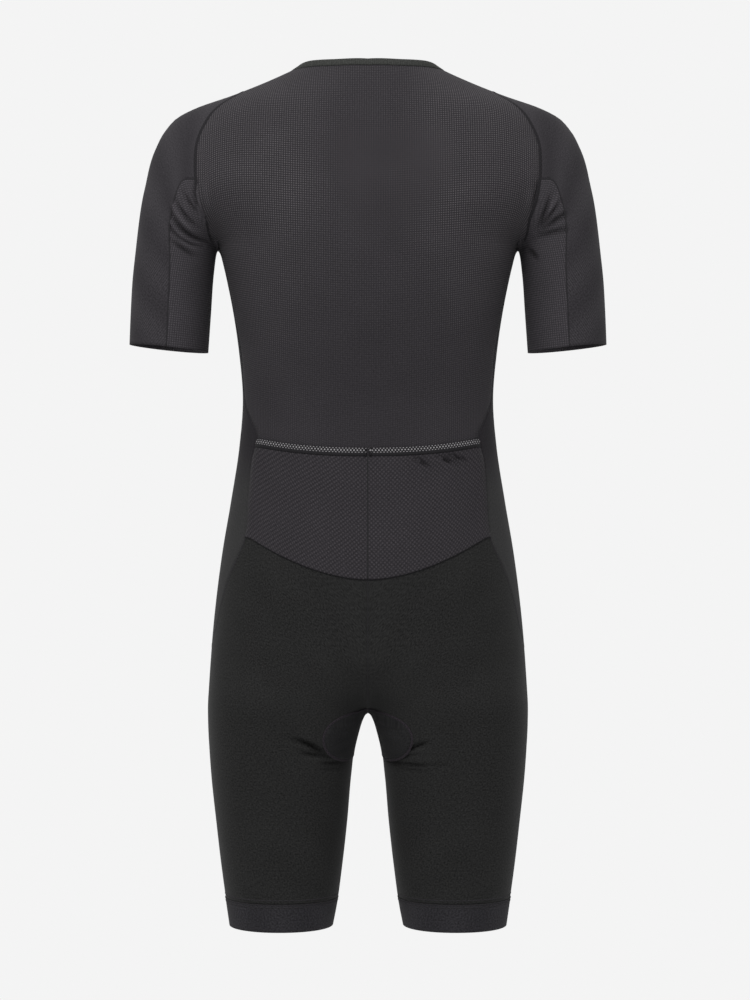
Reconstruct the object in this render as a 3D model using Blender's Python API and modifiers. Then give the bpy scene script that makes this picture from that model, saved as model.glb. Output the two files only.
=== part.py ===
"""Men's short-sleeved triathlon suit, filled out as worn, with every cut piece a thin wall of cloth.

The garment hangs round a general figure. That figure is one smooth surface, worked out from short tables of
sections, and the outside of the cloth lies on it. Each piece is a grid laid between its seams on that surface,
then given its wall inwards. Metres, +Z up, the front faces -Y and the wearer's left is +X.
"""
import math

import bmesh
import bpy
import numpy as np
from mathutils import Matrix, Vector

# ---- cloth ----
WALL = 0.0015
SEAM_GAP = 0.0003
LAID_GAP = 0.0003
POCKET_WALL = 0.0012
TAPE_WALL = 0.0016
BAND_WALL = 0.0016

# ---- levels, from the shoulder point down ----
ARMPIT_Z = -0.192
ARMPIT_BLEND = 0.075
ARMPIT_SOFT = 0.008
CROTCH_Z = -0.682
SEAT_BLEND = 0.060
CROTCH_SOFT = 0.010
WAIST_Z = -0.45
HEM_Z = -0.9138
BAND_HEIGHT = 0.030
CUFF_OUTER = (0.2556, -0.2934)
CUFF_INNER = (0.1710, -0.3020)
NECK_BAND_HEIGHT = 0.0080
NECK_STANDS_Y = 0.012
NECK_STANDS_BLEND = 0.036

# ---- zip ----
ZIP_HALF = 0.0037
ZIP_WALL = 0.0020
ZIP_ROWS = 14
SLIDER_Z = -0.0900
SLIDER_SIZE = (0.0085, 0.0024, 0.0120)
BRIDGE = dict(width=0.0014, reach=0.0044, height=0.0034, thick=0.0010)
PULL = dict(width=0.0062, length=0.0270, thick=0.0011, eye_width=0.0034, eye_length=0.0068, bar=0.0011)

# ---- cells along each seam ----
CELLS = dict(neck_back=4, neck_front=5, shoulder=2, back_cap=5, front_cap=4, back_under=3, front_under=3,
             underarm=2, side=7, tape=1, pocket=3, wedge=4, seat=4, gusset=4, gusset_half=4, inseam=5,
             sleeve=8)


def table(names, rows):
    """Columns of a table by name, its rows sorted from the lowest z up."""
    columns = zip(*sorted(rows))
    return {name: np.array(column, float) for name, column in zip(names.split(), columns)}


# Sections of the figure: half widths and depths at each height. 'square' is 2 for an ellipse.
SHOULDERS = table("z wide back front", [
    (0.0107, 0.0570, 0.0500, 0.0440),
    (0.0000, 0.0780, 0.0610, 0.0500),
    (-0.0128, 0.1058, 0.0700, 0.0540),
    (-0.0300, 0.1490, 0.0800, 0.0600),
    (-0.0428, 0.1860, 0.0860, 0.0640),
    (-0.0514, 0.2030, 0.0895, 0.0670),
    (-0.0642, 0.2156, 0.0940, 0.0710),
    (-0.0856, 0.2274, 0.1000, 0.0780),
    (-0.1280, 0.2388, 0.1070, 0.0920),
    (-0.1926, 0.2482, 0.1110, 0.1040),
    (-0.2247, 0.2520, 0.1105, 0.1060),
])
TORSO = table("z wide back front square", [
    (-0.1100, 0.1700, 0.1050, 0.0870, 2.3),
    (-0.1926, 0.1584, 0.1110, 0.1040, 2.3),
    (-0.2247, 0.1509, 0.1105, 0.1060, 2.3),
    (-0.2568, 0.1445, 0.1080, 0.1060, 2.3),
    (-0.3050, 0.1375, 0.1010, 0.1020, 2.25),
    (-0.3531, 0.1338, 0.0950, 0.0990, 2.2),
    (-0.4013, 0.1373, 0.0955, 0.0995, 2.2),
    (-0.4655, 0.1471, 0.1040, 0.1010, 2.25),
    (-0.5136, 0.1552, 0.1130, 0.1000, 2.35),
    (-0.5618, 0.1616, 0.1180, 0.0970, 2.4),
    (-0.6099, 0.1664, 0.1170, 0.0930, 2.4),
    (-0.6741, 0.1701, 0.1080, 0.0890, 2.4),
    (-0.7223, 0.1696, 0.1000, 0.0860, 2.4),
])
ARM = table("z centre half set depth", [
    (-0.1100, 0.1970, 0.0420, 0.003, 0.0530),
    (-0.1926, 0.2052, 0.0431, 0.000, 0.0530),
    (-0.2247, 0.2089, 0.0431, -0.003, 0.0525),
    (-0.2568, 0.2111, 0.0430, -0.006, 0.0520),
    (-0.3050, 0.2140, 0.0423, -0.010, 0.0510),
])
LEG = table("z inner outer set depth square", [
    (-0.6000, 0.0010, 0.1655, 0.012, 0.1050, 2.8),
    (-0.6500, 0.0012, 0.1690, 0.011, 0.1000, 2.7),
    (-0.6741, 0.0016, 0.1701, 0.0100, 0.0975, 2.6),
    (-0.6902, 0.0037, 0.1702, 0.0090, 0.0955, 2.55),
    (-0.7062, 0.0091, 0.1698, 0.0080, 0.0935, 2.5),
    (-0.7223, 0.0128, 0.1690, 0.0070, 0.0915, 2.45),
    (-0.7544, 0.0176, 0.1669, 0.0045, 0.0875, 2.35),
    (-0.8025, 0.0225, 0.1621, 0.0010, 0.0815, 2.2),
    (-0.8506, 0.0278, 0.1567, -0.0015, 0.0755, 2.15),
    (-0.8934, 0.0337, 0.1509, -0.0030, 0.0700, 2.1),
    (-0.9200, 0.0390, 0.1470, -0.0030, 0.0665, 2.1),
])

# Seams on the figure. Those on the back and front are given by x and z, those at the side by y and z.
NECK_EDGE_BACK = table("z x", [(-0.0040, 0.0), (-0.0036, 0.038), (-0.0028, 0.064)])
NECK_EDGE_FRONT = table("z x", [(-0.0130, 0.0805), (-0.0360, 0.0680), (-0.0600, 0.0480), (-0.0760, 0.0250),
                                (-0.0815, 0.0)])
ARMHOLE = table("z x", [(-0.0330, 0.1410), (-0.0440, 0.1560), (-0.0600, 0.1690), (-0.0830, 0.1790),
                        (-0.1130, 0.1810), (-0.1420, 0.1770), (-0.1650, 0.1700), (-0.1850, 0.1630)])
CAP_SPLIT_Z = -0.1165
SIDE_BACK = table("z y", [(-0.1960, 0.014), (-0.2470, 0.014), (-0.3000, 0.027), (-0.3530, 0.023),
                          (-0.3750, 0.0425), (-0.3930, 0.055), (-0.4030, 0.055), (-0.4160, 0.0535),
                          (-0.4550, 0.0595), (-0.5040, 0.069), (-0.5460, 0.056), (-0.5760, 0.046),
                          (-0.6000, 0.034), (-0.6110, 0.020), (-0.6170, 0.005)])
SIDE_FRONT = table("z y", [(-0.1960, -0.014), (-0.2470, -0.026), (-0.3000, -0.040), (-0.3530, -0.046),
                           (-0.4160, -0.048), (-0.4700, -0.045), (-0.5040, -0.040), (-0.5460, -0.030),
                           (-0.6000, -0.010), (-0.6170, -0.004)])
POCKET_TOP_SIDE_Z = -0.3960
POCKET_TOP_CENTRE_Z = -0.4060
TAPE_HEIGHT = 0.0085
SEAT_SEAM_SIDE_Z = -0.4985
SEAT_SEAM_CENTRE_Z = -0.5420
FRONT_SEAM_CENTRE_Z = -0.5250
GUSSET_BACK_Z = -0.6680
LEG_AXIS_X = 0.088
UNDERARM_X = 0.1590
UNDERARM_START_Z = -0.235
SHOULDER_RIDGE_X = 0.1345
SHOULDER_SEAM_Y = -0.016
CUFF_SEAM_TURN = 91.146
TAPE_GAP = 0.0035
ARMHOLE_POINTS = 240
NECK_POINTS = 160
# Crotch oval on one leg, t running from the back point to the inseam. The front half mirrors it.
GUSSET_EDGE = table("t x y z", [(0.00, 0.000, 0.055, -0.6680), (0.18, 0.020, 0.082, -0.6870),
                                (0.36, 0.038, 0.092, -0.7020), (0.54, 0.042, 0.088, -0.7180),
                                (0.72, 0.034, 0.076, -0.7285), (0.86, 0.023, 0.048, -0.7410),
                                (1.00, 0.016, 0.004, -0.7545)])
SLEEVE_SEAM = table("z x", [(-0.1250, 0.1945), (-0.1420, 0.2030), (-0.1650, 0.2080), (-0.2100, 0.2085)])


# ---------- the figure ----------
def at(rows, name, z):
    """One column of a table at height z, on a smooth curve through its rows."""
    knots, values = rows["z"], rows[name]
    z = np.clip(z, knots[0], knots[-1])
    slopes = np.gradient(values, knots)
    row = np.clip(np.searchsorted(knots, z) - 1, 0, len(knots) - 2)
    span = knots[row + 1] - knots[row]
    t = (z - knots[row]) / span
    low = (2 * t**3 - 3 * t**2 + 1) * values[row] + (t**3 - 2 * t**2 + t) * span * slopes[row]
    high = (3 * t**2 - 2 * t**3) * values[row + 1] + (t**3 - t**2) * span * slopes[row + 1]
    return low + high


def oval(across, deep, half_across, half_deep, square):
    """How far a point lies outside a rounded section, along the line from its middle."""
    ratio = ((np.abs(across) / half_across)**square + (np.abs(deep) / half_deep)**square)**(1 / square)
    reach = np.hypot(across, deep)
    return reach - reach / np.maximum(ratio, 1e-6)


def soft_min(a, b, soft):
    share = np.clip(0.5 + 0.5 * (b - a) / soft, 0, 1)
    return b + (a - b) * share - soft * share * (1 - share)


def ease(t):
    t = np.clip(t, 0, 1)
    return t * t * (3 - 2 * t)


def trunk(x, y, z, rows, square):
    deep = np.where(y > 0, at(rows, "back", z), at(rows, "front", z))
    return oval(x, y, at(rows, "wide", z), deep, square)


def arm(x, y, z):
    return oval(np.abs(x) - at(ARM, "centre", z), y - at(ARM, "set", z), at(ARM, "half", z),
                at(ARM, "depth", z), 2.0)


def leg(x, y, z):
    inner, outer = at(LEG, "inner", z), at(LEG, "outer", z)
    return oval(x - (inner + outer) / 2, y - at(LEG, "set", z), (outer - inner) / 2, at(LEG, "depth", z),
                at(LEG, "square", z))


def figure(points, arms=True):
    """Below 0 inside the worn shape, above 0 outside it."""
    x, y, z = points[..., 0], points[..., 1], points[..., 2]
    torso = trunk(x, y, z, TORSO, at(TORSO, "square", z))
    parted = soft_min(torso, arm(x, y, z), ARMPIT_SOFT) if arms else torso
    apart = ease((ARMPIT_Z + ARMPIT_BLEND - z) / ARMPIT_BLEND)
    upper = trunk(x, y, z, SHOULDERS, 2.0) * (1 - apart) + parted * apart
    legs = soft_min(leg(x, y, z), leg(-x, y, z), CROTCH_SOFT)
    apart = ease((CROTCH_Z + SEAT_BLEND - z) / SEAT_BLEND)
    lower = torso * (1 - apart) + legs * apart
    return np.where(z > WAIST_Z, upper, lower)


def slope(points, arms=True):
    step = 0.0005
    gradient = np.zeros(points.shape)
    for axis in range(3):
        move = np.zeros(3)
        move[axis] = step
        gradient[..., axis] = (figure(points + move, arms) - figure(points - move, arms)) / (2 * step)
    return gradient


def normals(points):
    gradient = slope(points)
    return gradient / np.linalg.norm(gradient, axis=-1, keepdims=True)


def settle(points, rounds=6, arms=True):
    """Move points on to the figure by the shortest way."""
    points = np.array(points, float)
    for _ in range(rounds):
        gradient = slope(points, arms)
        size = np.sum(gradient**2, axis=-1, keepdims=True)
        move = figure(points, arms)[..., None] * gradient / np.maximum(size, 0.05)
        length = np.linalg.norm(move, axis=-1, keepdims=True)
        points = points - move * np.minimum(1, 0.02 / np.maximum(length, 1e-9))
    return points


def cast(starts, way, reach=0.4, arms=True):
    """First points where lines from the starts meet the figure."""
    starts = np.array(starts, float)
    way = np.broadcast_to(np.array(way, float), starts.shape)
    travel = np.full(starts.shape[:-1], reach)
    found = np.zeros(starts.shape[:-1], bool)
    steps = 160
    for step in range(1, steps + 1):
        distance = reach * step / steps
        inside = figure(starts + way * distance, arms) < 0
        travel = np.where(inside & ~found, distance, travel)
        found |= inside
    near, far = travel - reach / steps, travel.copy()
    for _ in range(24):
        middle = (near + far) / 2
        inside = figure(starts + way * middle[..., None], arms) < 0
        far = np.where(inside, middle, far)
        near = np.where(inside, near, middle)
    return starts + way * far[..., None]


def on_back(x, z):
    x, z = np.broadcast_arrays(np.array(x, float), np.array(z, float))
    return cast(np.stack([x, np.full(x.shape, 0.2), z], -1), (0, -1, 0), 0.3)


def on_front(x, z):
    x, z = np.broadcast_arrays(np.array(x, float), np.array(z, float))
    return cast(np.stack([x, np.full(x.shape, -0.2), z], -1), (0, 1, 0), 0.3)


def on_side(y, z):
    y, z = np.broadcast_arrays(np.array(y, float), np.array(z, float))
    return cast(np.stack([np.full(y.shape, 0.25), y, z], -1), (-1, 0, 0), 0.25, arms=False)


# ---------- seams ----------
def smooth_line(guides, count):
    """Points at even steps on a smooth curve through guide points, ends included."""
    guides = np.array(guides, float)
    gaps = np.linalg.norm(np.diff(guides, axis=0), axis=1)
    knots = np.concatenate([[0], np.cumsum(gaps)])
    fine = np.linspace(0, knots[-1], 40 * len(guides))
    curve = np.stack([at({"z": knots, "v": guides[:, axis]}, "v", fine) for axis in range(3)], -1)
    lengths = np.concatenate([[0], np.cumsum(np.linalg.norm(np.diff(curve, axis=0), axis=1))])
    stops = np.linspace(0, lengths[-1], count + 1)
    return np.stack([np.interp(stops, lengths, curve[:, axis]) for axis in range(3)], -1)


def armhole_line():
    """Guides of the armhole from the underarm side seam, up the back, over the shoulder and down the front."""
    back = on_back(ARMHOLE["x"], ARMHOLE["z"])
    front = on_front(ARMHOLE["x"], ARMHOLE["z"])[::-1]
    ridge = cast([[SHOULDER_RIDGE_X, y, 0.05] for y in (0.022, 0.000, -0.018)], (0, 0, -1), 0.2)
    under = on_underarm([0.014, 0.026])
    under_front = on_underarm([-0.026, -0.014])
    return np.concatenate([under, back, ridge, front, under_front])


def on_underarm(depths):
    return cast([[UNDERARM_X, y, UNDERARM_START_Z] for y in depths], (0, 0, 1), 0.1)


def armhole_seams():
    """The armhole in the stretches that its pieces share, in order from the back of the underarm."""
    fine = settle(smooth_line(armhole_line(), ARMHOLE_POINTS))
    half, third = ARMHOLE_POINTS // 2, ARMHOLE_POINTS // 3
    cap = int(np.argmin(np.where(fine[:half, 1] > 0, np.abs(fine[:half, 2] - CAP_SPLIT_Z), 1)))
    shoulder = third + int(np.argmin(np.abs(fine[third:2 * third, 1] - SHOULDER_SEAM_Y)))
    cap_front = half + int(np.argmin(np.where(fine[half:, 1] < 0, np.abs(fine[half:, 2] - CAP_SPLIT_Z), 1)))
    cuts = [0, cap, shoulder, cap_front, ARMHOLE_POINTS]
    names = ["back_under", "back_cap", "front_cap", "front_under"]
    seams = {}
    for name, start, end in zip(names, cuts, cuts[1:]):
        seams[name] = settle(smooth_line(fine[start:end + 1], CELLS[name]), 3)
    ends = np.array([seams["front_under"][-1], seams["back_under"][0]])
    middle = on_underarm([0.0])[0]
    seams["underarm"] = np.array([ends[1], middle, ends[0]])
    for before, after in zip(names, names[1:]):
        seams[after][0] = seams[before][-1]
    return seams


def side_seams(armhole):
    """Back and front edges of the side panel, armpit to pocket tape, pocket, seat seam and wedge tip."""
    levels = [POCKET_TOP_SIDE_Z, POCKET_TOP_SIDE_Z - TAPE_HEIGHT, SEAT_SEAM_SIDE_Z, SIDE_BACK["z"][0]]
    seams = {}
    for name, rows, top in (("back", SIDE_BACK, armhole["back_under"][0]),
                            ("front", SIDE_FRONT, armhole["front_under"][-1])):
        start = top[2] - 0.004
        parts = []
        for stretch, low in zip(("side", "tape", "pocket", "wedge"), levels):
            z = np.linspace(start, low, CELLS[stretch] + 1)
            parts.append(settle(on_side(at(rows, "y", z), z), 3, arms=False))
            start = low
        parts[0][0] = top
        seams[name] = dict(zip(("side", "tape", "pocket", "wedge"), parts))
    return seams


def across_back(ends, centre_z, cells, bow=2.0):
    """A seam from the centre back to a side seam, its height following a bow."""
    end = np.array(ends, float)
    x = np.linspace(0, 1, cells + 1)
    height = centre_z + (end[2] - centre_z) * x**bow
    line = on_back(x[:-1] * end[0] * 0.97, height[:-1])
    return np.concatenate([line, end[None]])


def across_front(ends, centre_z, cells, inner, bow=2.0):
    end = np.array(ends, float)
    x = np.linspace(0, 1, cells + 1)
    height = centre_z + (end[2] - centre_z) * x**bow
    line = on_front(inner + x[:-1] * (end[0] * 0.97 - inner), height[:-1])
    return np.concatenate([line, end[None]])


def neck_lines():
    """Neck seam from the centre back round the left side to the zip, and the shoulder point on it."""
    back = on_back(NECK_EDGE_BACK["x"], NECK_EDGE_BACK["z"])
    back = back[np.argsort(back[:, 0])]
    front = on_front(NECK_EDGE_FRONT["x"], NECK_EDGE_FRONT["z"])[::-1]
    ridge = cast(np.array([[0.0795, 0.020, 0.05], [0.0815, 0.0, 0.05]]), (0, 0, -1), 0.2)
    fine = settle(smooth_line(np.concatenate([back, ridge, front]), NECK_POINTS))
    start, stop = NECK_POINTS // 5, NECK_POINTS * 3 // 4
    shoulder = start + int(np.argmin(np.abs(fine[start:stop, 1] - SHOULDER_SEAM_Y)))
    last = int(np.argmin(np.where(fine[:, 1] < -0.03, np.abs(fine[:, 0] - ZIP_HALF - SEAM_GAP / 2), 1)))
    rear = settle(smooth_line(fine[:shoulder + 1], CELLS["neck_back"]), 3)
    fore = settle(smooth_line(fine[shoulder:last + 1], CELLS["neck_front"]), 3)
    rear[0, 0] = 0
    fore[0] = rear[-1]
    fore[-1] = on_front([ZIP_HALF + SEAM_GAP / 2], [fore[-1][2]])[0]
    return rear, fore


def shoulder_line(neck_point, arm_point):
    guides = [neck_point, (neck_point + arm_point) / 2, arm_point]
    line = settle(smooth_line(guides, CELLS["shoulder"]))
    line[0], line[-1] = neck_point, arm_point
    return line


# ---------- panels ----------
def patch(low, high, left, right, fade=1):
    """A grid between four seams: low and high run across, left and right run up.

    The side seams' own curves fade out across the grid, faster for a higher fade.
    """
    u = np.linspace(0, 1, len(low))[None, :, None]
    v = np.linspace(0, 1, len(left))[:, None, None]
    ruled = (1 - v) * low[None] + v * high[None]
    left_bend = left[:, None] - ruled[:, :1]
    right_bend = right[:, None] - ruled[:, -1:]
    return ruled + (1 - u)**fade * left_bend + u**fade * right_bend


def spread(grid, rounds=40):
    """Even out a grid's inner points and keep them on the figure."""
    grid = settle(grid, 8)
    for _ in range(rounds):
        inner = (grid[:-2, 1:-1] + grid[2:, 1:-1] + grid[1:-1, :-2] + grid[1:-1, 2:]) / 4
        grid[1:-1, 1:-1] = grid[1:-1, 1:-1] * 0.4 + inner * 0.6
        grid[1:-1, 1:-1] = settle(grid[1:-1, 1:-1], 2)
    return grid


def keep_edges(grid, low, high, left, right):
    grid[0], grid[-1], grid[:, 0], grid[:, -1] = low, high, left, right
    return grid


def panel(low, high, left, right, rounds=40):
    return keep_edges(spread(patch(low, high, left, right), rounds), low, high, left, right)


def unit(vectors):
    return vectors / np.maximum(np.linalg.norm(vectors, axis=-1, keepdims=True), 1e-9)


def drawn_in(grid, amount, sides=True, ends=True):
    """Pull a grid's edges in by half a seam gap, square to each edge."""
    out = grid.copy()

    def pull(edge, inner):
        along = unit(np.gradient(edge, axis=0))
        way = inner - edge
        way = way - np.sum(way * along, -1, keepdims=True) * along
        return unit(way) * amount

    if ends:
        out[0] += pull(grid[0], grid[1])
        out[-1] += pull(grid[-1], grid[-2])
    if sides:
        out[:, 0] += pull(grid[:, 0], grid[:, 1])
        out[:, -1] += pull(grid[:, -1], grid[:, -2])
    return out


def mirrored(grid):
    return grid * np.array([-1.0, 1.0, 1.0])


# ---------- Blender ----------
def clear_scene():
    for item in list(bpy.data.objects):
        bpy.data.objects.remove(item, do_unlink=True)


def collection(name):
    group = bpy.data.collections.new(name)
    bpy.context.scene.collection.children.link(group)
    return group


def finish(name, colour, roughness, metallic=0.0):
    material = bpy.data.materials.new(name)
    material.use_nodes = True
    shader = material.node_tree.nodes["Principled BSDF"]
    shader.inputs["Base Color"].default_value = (*colour, 1)
    shader.inputs["Roughness"].default_value = roughness
    shader.inputs["Metallic"].default_value = metallic
    return material


def add_object(name, mesh, material, group):
    mesh.materials.append(material)
    mesh.shade_smooth()
    mesh.set_sharp_from_angle(angle=math.radians(40))
    item = bpy.data.objects.new(name, mesh)
    group.objects.link(item)
    return item


def cloth(name, grid, material, group, low=-WALL, high=0.0, weld=False):
    """A wall of cloth between two heights over the figure, laid on a grid of points."""
    rows, columns = grid.shape[0] - 1, grid.shape[1] - 1
    facing = normals(grid)
    outside = grid + facing * high
    inside = grid + facing * low
    shape = bmesh.new()
    bmesh.ops.create_grid(shape, x_segments=columns, y_segments=rows, size=0.5)
    spot = shape.verts.layers.int.new("spot")
    for vert in shape.verts:
        column = round((vert.co.x + 0.5) * columns)
        row = round((vert.co.y + 0.5) * rows)
        vert[spot] = row * (columns + 1) + column
    outside = outside.reshape(-1, 3)
    inside = inside.reshape(-1, 3)
    for vert in shape.verts:
        vert.co = outside[vert[spot]]
    if weld:
        bmesh.ops.remove_doubles(shape, verts=shape.verts, dist=1e-6)
    made = bmesh.ops.extrude_face_region(shape, geom=shape.faces[:])
    for vert in (item for item in made["geom"] if isinstance(item, bmesh.types.BMVert)):
        vert.co = inside[vert[spot]]
    bmesh.ops.triangulate(shape, faces=shape.faces[:])
    bmesh.ops.recalc_face_normals(shape, faces=shape.faces[:])
    mesh = bpy.data.meshes.new(name)
    shape.to_mesh(mesh)
    shape.free()
    return add_object(name, mesh, material, group)


# ---------- the cut pieces ----------
def both_sides(names, grid, *rest, **more):
    """The left piece as laid, and the right one mirrored."""
    cloth(names[0], grid, *rest, **more)
    cloth(names[1], mirrored(grid), *rest, **more)


def back_grids(seams):
    """Back in two stretches, below and above the pocket's top line."""
    def full(half):
        return np.concatenate([mirrored(half[:0:-1]), half])

    seat = full(seams["seat_seam"])
    tape_low = full(seams["tape_low"])
    tape_high = full(seams["tape_high"])
    top = full(np.concatenate([seams["neck_back"], seams["shoulder"][1:]]))
    side = seams["side"]["back"]
    low_edge = side["pocket"][::-1]
    low_part = panel(seat, tape_low, mirrored(low_edge), low_edge)
    tape_part = np.array([tape_low, tape_high])
    armhole = np.concatenate([seams["armhole"]["back_under"], seams["armhole"]["back_cap"][1:]])
    high_edge = np.concatenate([side["side"][::-1], armhole[1:]])
    high_part = panel(tape_high, top, mirrored(high_edge), high_edge, 80)
    return low_part, tape_part, high_part


def front_grid(seams):
    side = seams["side"]["front"]
    low_edge = np.concatenate([side["pocket"][::-1], side["tape"][::-1][1:], side["side"][::-1][1:]])
    armhole = np.concatenate([seams["armhole"]["front_cap"], seams["armhole"]["front_under"][1:]])[::-1]
    outer = np.concatenate([low_edge, armhole[1:]])
    top = np.concatenate([seams["neck_front"][::-1], seams["shoulder"][1:]])
    rows = len(outer) - 1
    inner_z = np.linspace(seams["front_seam"][0][2], top[0][2], rows + 1)
    inner = on_front(np.full(rows + 1, ZIP_HALF + SEAM_GAP / 2), inner_z)
    inner[0], inner[-1] = seams["front_seam"][0], top[0]
    return panel(seams["front_seam"], top, inner, outer, 80)


def side_grid(seams):
    edges = []
    for name in ("back", "front"):
        side = seams["side"][name]
        edges.append(np.concatenate([side["side"], side["tape"][1:], side["pocket"][1:], side["wedge"][1:]]))
    back, front = edges
    columns = len(seams["armhole"]["underarm"]) - 1
    share = np.linspace(0, 1, columns + 1)[None, :, None]
    grid = back[:, None] * (1 - share) + front[:, None] * share
    grid = settle(grid, 6, arms=False)
    grid[0] = seams["armhole"]["underarm"]
    grid[:, 0], grid[:, -1] = back, front
    grid[-1] = tip_points(seams)
    return grid


def cuff_ring(count, start, end):
    """Cuff points from one angle to another round the arm, on the cuff's slanted plane."""
    angle = np.radians(np.linspace(start, end, count + 1))
    z = np.full(count + 1, (CUFF_OUTER[1] + CUFF_INNER[1]) / 2)
    tilt = (CUFF_OUTER[1] - CUFF_INNER[1]) / (CUFF_OUTER[0] - CUFF_INNER[0])
    for _ in range(5):
        centre = at(ARM, "centre", z)
        x = centre + np.cos(angle) * at(ARM, "half", z)
        z = CUFF_INNER[1] + (x - CUFF_INNER[0]) * tilt
    y = at(ARM, "set", z) + np.sin(angle) * at(ARM, "depth", z)
    return np.stack([x, y, z], -1)


def sleeve_seam(start, end, towards):
    """Seam between sleeve and under panel, from its arc at the armhole down to the cuff."""
    face = on_back if towards > 0 else on_front
    guides = [start] + list(face(SLEEVE_SEAM["x"][::-1], SLEEVE_SEAM["z"][::-1]))
    low = end + (guides[-1] - end) * 0.4
    guides += [settle(low[None])[0], end]
    line = settle(smooth_line(guides, CELLS["sleeve"]))
    line[0], line[-1] = start, end
    return line


def sleeve_grids(seams):
    armhole = seams["armhole"]
    cap = np.concatenate([armhole["back_cap"], armhole["front_cap"][1:]])
    under = np.concatenate([armhole["back_under"][::-1], armhole["underarm"][1:], armhole["front_under"][::-1][1:]])
    outer_cuff = cuff_ring(len(cap) - 1, CUFF_SEAM_TURN, -CUFF_SEAM_TURN)
    under_cuff = cuff_ring(len(under) - 1, CUFF_SEAM_TURN, 360 - CUFF_SEAM_TURN)
    rear = sleeve_seam(cap[0], outer_cuff[0], 1)
    fore = sleeve_seam(cap[-1], outer_cuff[-1], -1)
    outer = panel(outer_cuff, cap, rear[::-1], fore[::-1], 60)
    inner = panel(under_cuff, under, rear[::-1], fore[::-1], 60)
    return outer, inner


def gusset_edge():
    """Edge of the crotch oval on the left leg, back point to front point through the inseam."""
    back = np.stack([GUSSET_EDGE[name] for name in ("x", "y", "z")], -1)
    order = np.argsort(GUSSET_EDGE["t"])
    back = settle(back[order])
    back[0] = centre_point(GUSSET_BACK_Z, 1)
    front = back[::-1] * np.array([1, -1, 1.0])
    front = settle(front)
    front[-1] = centre_point(GUSSET_BACK_Z, -1)
    rear = settle(smooth_line(back, CELLS["gusset"]), 3)
    fore = settle(smooth_line(front, CELLS["gusset"]), 3)
    rear[0], fore[-1] = back[0], front[-1]
    joint = (rear[-1] + fore[0]) / 2
    rear[-1] = fore[0] = settle(joint[None])[0]
    return rear, fore


def centre_point(z, towards):
    face = on_back if towards > 0 else on_front
    return face([0.0], [z])[0]


def gusset_grid(rear, fore):
    """The oval, back point to front point: each row runs from leg to leg over the crotch."""
    left = np.concatenate([rear, fore[1:]])
    rows = len(left) - 1
    middle_y = np.array([0.6, 0.3, 0.0, -0.3, -0.6]) * left[0][1]
    middle = cast(np.stack([np.zeros(5), middle_y, np.full(5, -0.78)], -1), (0, 0, 1), 0.2)
    ridge = settle(smooth_line(np.concatenate([left[:1], middle, left[-1:]]), rows))
    ridge[:, 0] = 0
    ridge[0], ridge[-1] = left[0], left[-1]
    share = np.linspace(0, 1, CELLS["gusset_half"] + 1)[None, :, None]
    half = ridge[:, None] * (1 - share) + left[:, None] * share
    half = keep_edges(spread(half, 8), half[0], half[-1], ridge, left)
    return np.concatenate([mirrored(half[:, :0:-1]), half], axis=1)


def gusset_cut(grid):
    """The gusset's seam gap, its two points kept as points."""
    cut = drawn_in(grid, SEAM_GAP / 2, ends=False)
    middle = grid.shape[1] // 2
    for end, inner in ((0, 1), (-1, -2)):
        way = unit(grid[inner, middle] - grid[end, middle])
        cut[end] = grid[end, middle] + way * SEAM_GAP * 3
    return cut


def round_leg(edge):
    """Angle round the leg and height of points on it: 0 at the outside, positive to the back."""
    return np.stack([np.arctan2(edge[:, 1], edge[:, 0] - LEG_AXIS_X), edge[:, 2]], -1)


def leg_grid(seams, rear, fore):
    side = seams["side"]
    seat = centre_line(seams["seat_seam"][0][2], rear[0], 1)
    belly = centre_line(seams["front_seam"][0][2], fore[-1], -1)
    tip = tip_points(seams)
    top = np.concatenate([seams["seat_seam"], side["back"]["wedge"][1:], tip[1:-1],
                          side["front"]["wedge"][::-1], seams["front_seam"][::-1][1:], belly[:1]])
    hem_top = HEM_Z + BAND_HEIGHT
    inseam_z = np.linspace(rear[-1][2], hem_top, CELLS["inseam"] + 1)
    starts = np.stack([np.full(len(inseam_z), LEG_AXIS_X), np.zeros(len(inseam_z)), inseam_z], -1)
    inseam = outward(starts, np.full(len(inseam_z), math.pi))
    inseam[0] = rear[-1]
    left = np.concatenate([seat, rear[1:], inseam[1:]])
    right = np.concatenate([belly, fore[::-1][1:], inseam[1:]])
    columns = len(top) - 1
    hem_angle = np.linspace(math.pi, -math.pi, columns + 1)
    starts = np.stack([np.full(columns + 1, LEG_AXIS_X), np.zeros(columns + 1), np.full(columns + 1, hem_top)], -1)
    hem = outward(starts, hem_angle)
    hem[0] = hem[-1] = inseam[-1]
    flat_left, flat_right = round_leg(left), round_leg(right)
    flat_left[:, 0] = np.abs(flat_left[:, 0])
    flat_right[:, 0] = -np.abs(flat_right[:, 0])
    flat_top = round_leg(top)
    flat_hem = np.stack([hem_angle, np.full(columns + 1, hem_top)], -1)
    flat = patch(flat_hem, flat_top, flat_left[::-1], flat_right[::-1], 3)
    starts = np.stack([np.full(flat.shape[:2], LEG_AXIS_X), np.zeros(flat.shape[:2]), flat[..., 1]], -1)
    grid = outward(starts, flat[..., 0])
    return keep_edges(grid, hem, top, left[::-1], right[::-1]), hem


def centre_line(top_z, end, towards):
    """The seat or front seam on the middle plane, down to the gusset's point."""
    face = on_back if towards > 0 else on_front
    z = np.linspace(top_z, end[2], CELLS["seat"] + 1)
    line = face(np.zeros(CELLS["seat"] + 1), z)
    line[-1] = end
    return line


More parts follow.
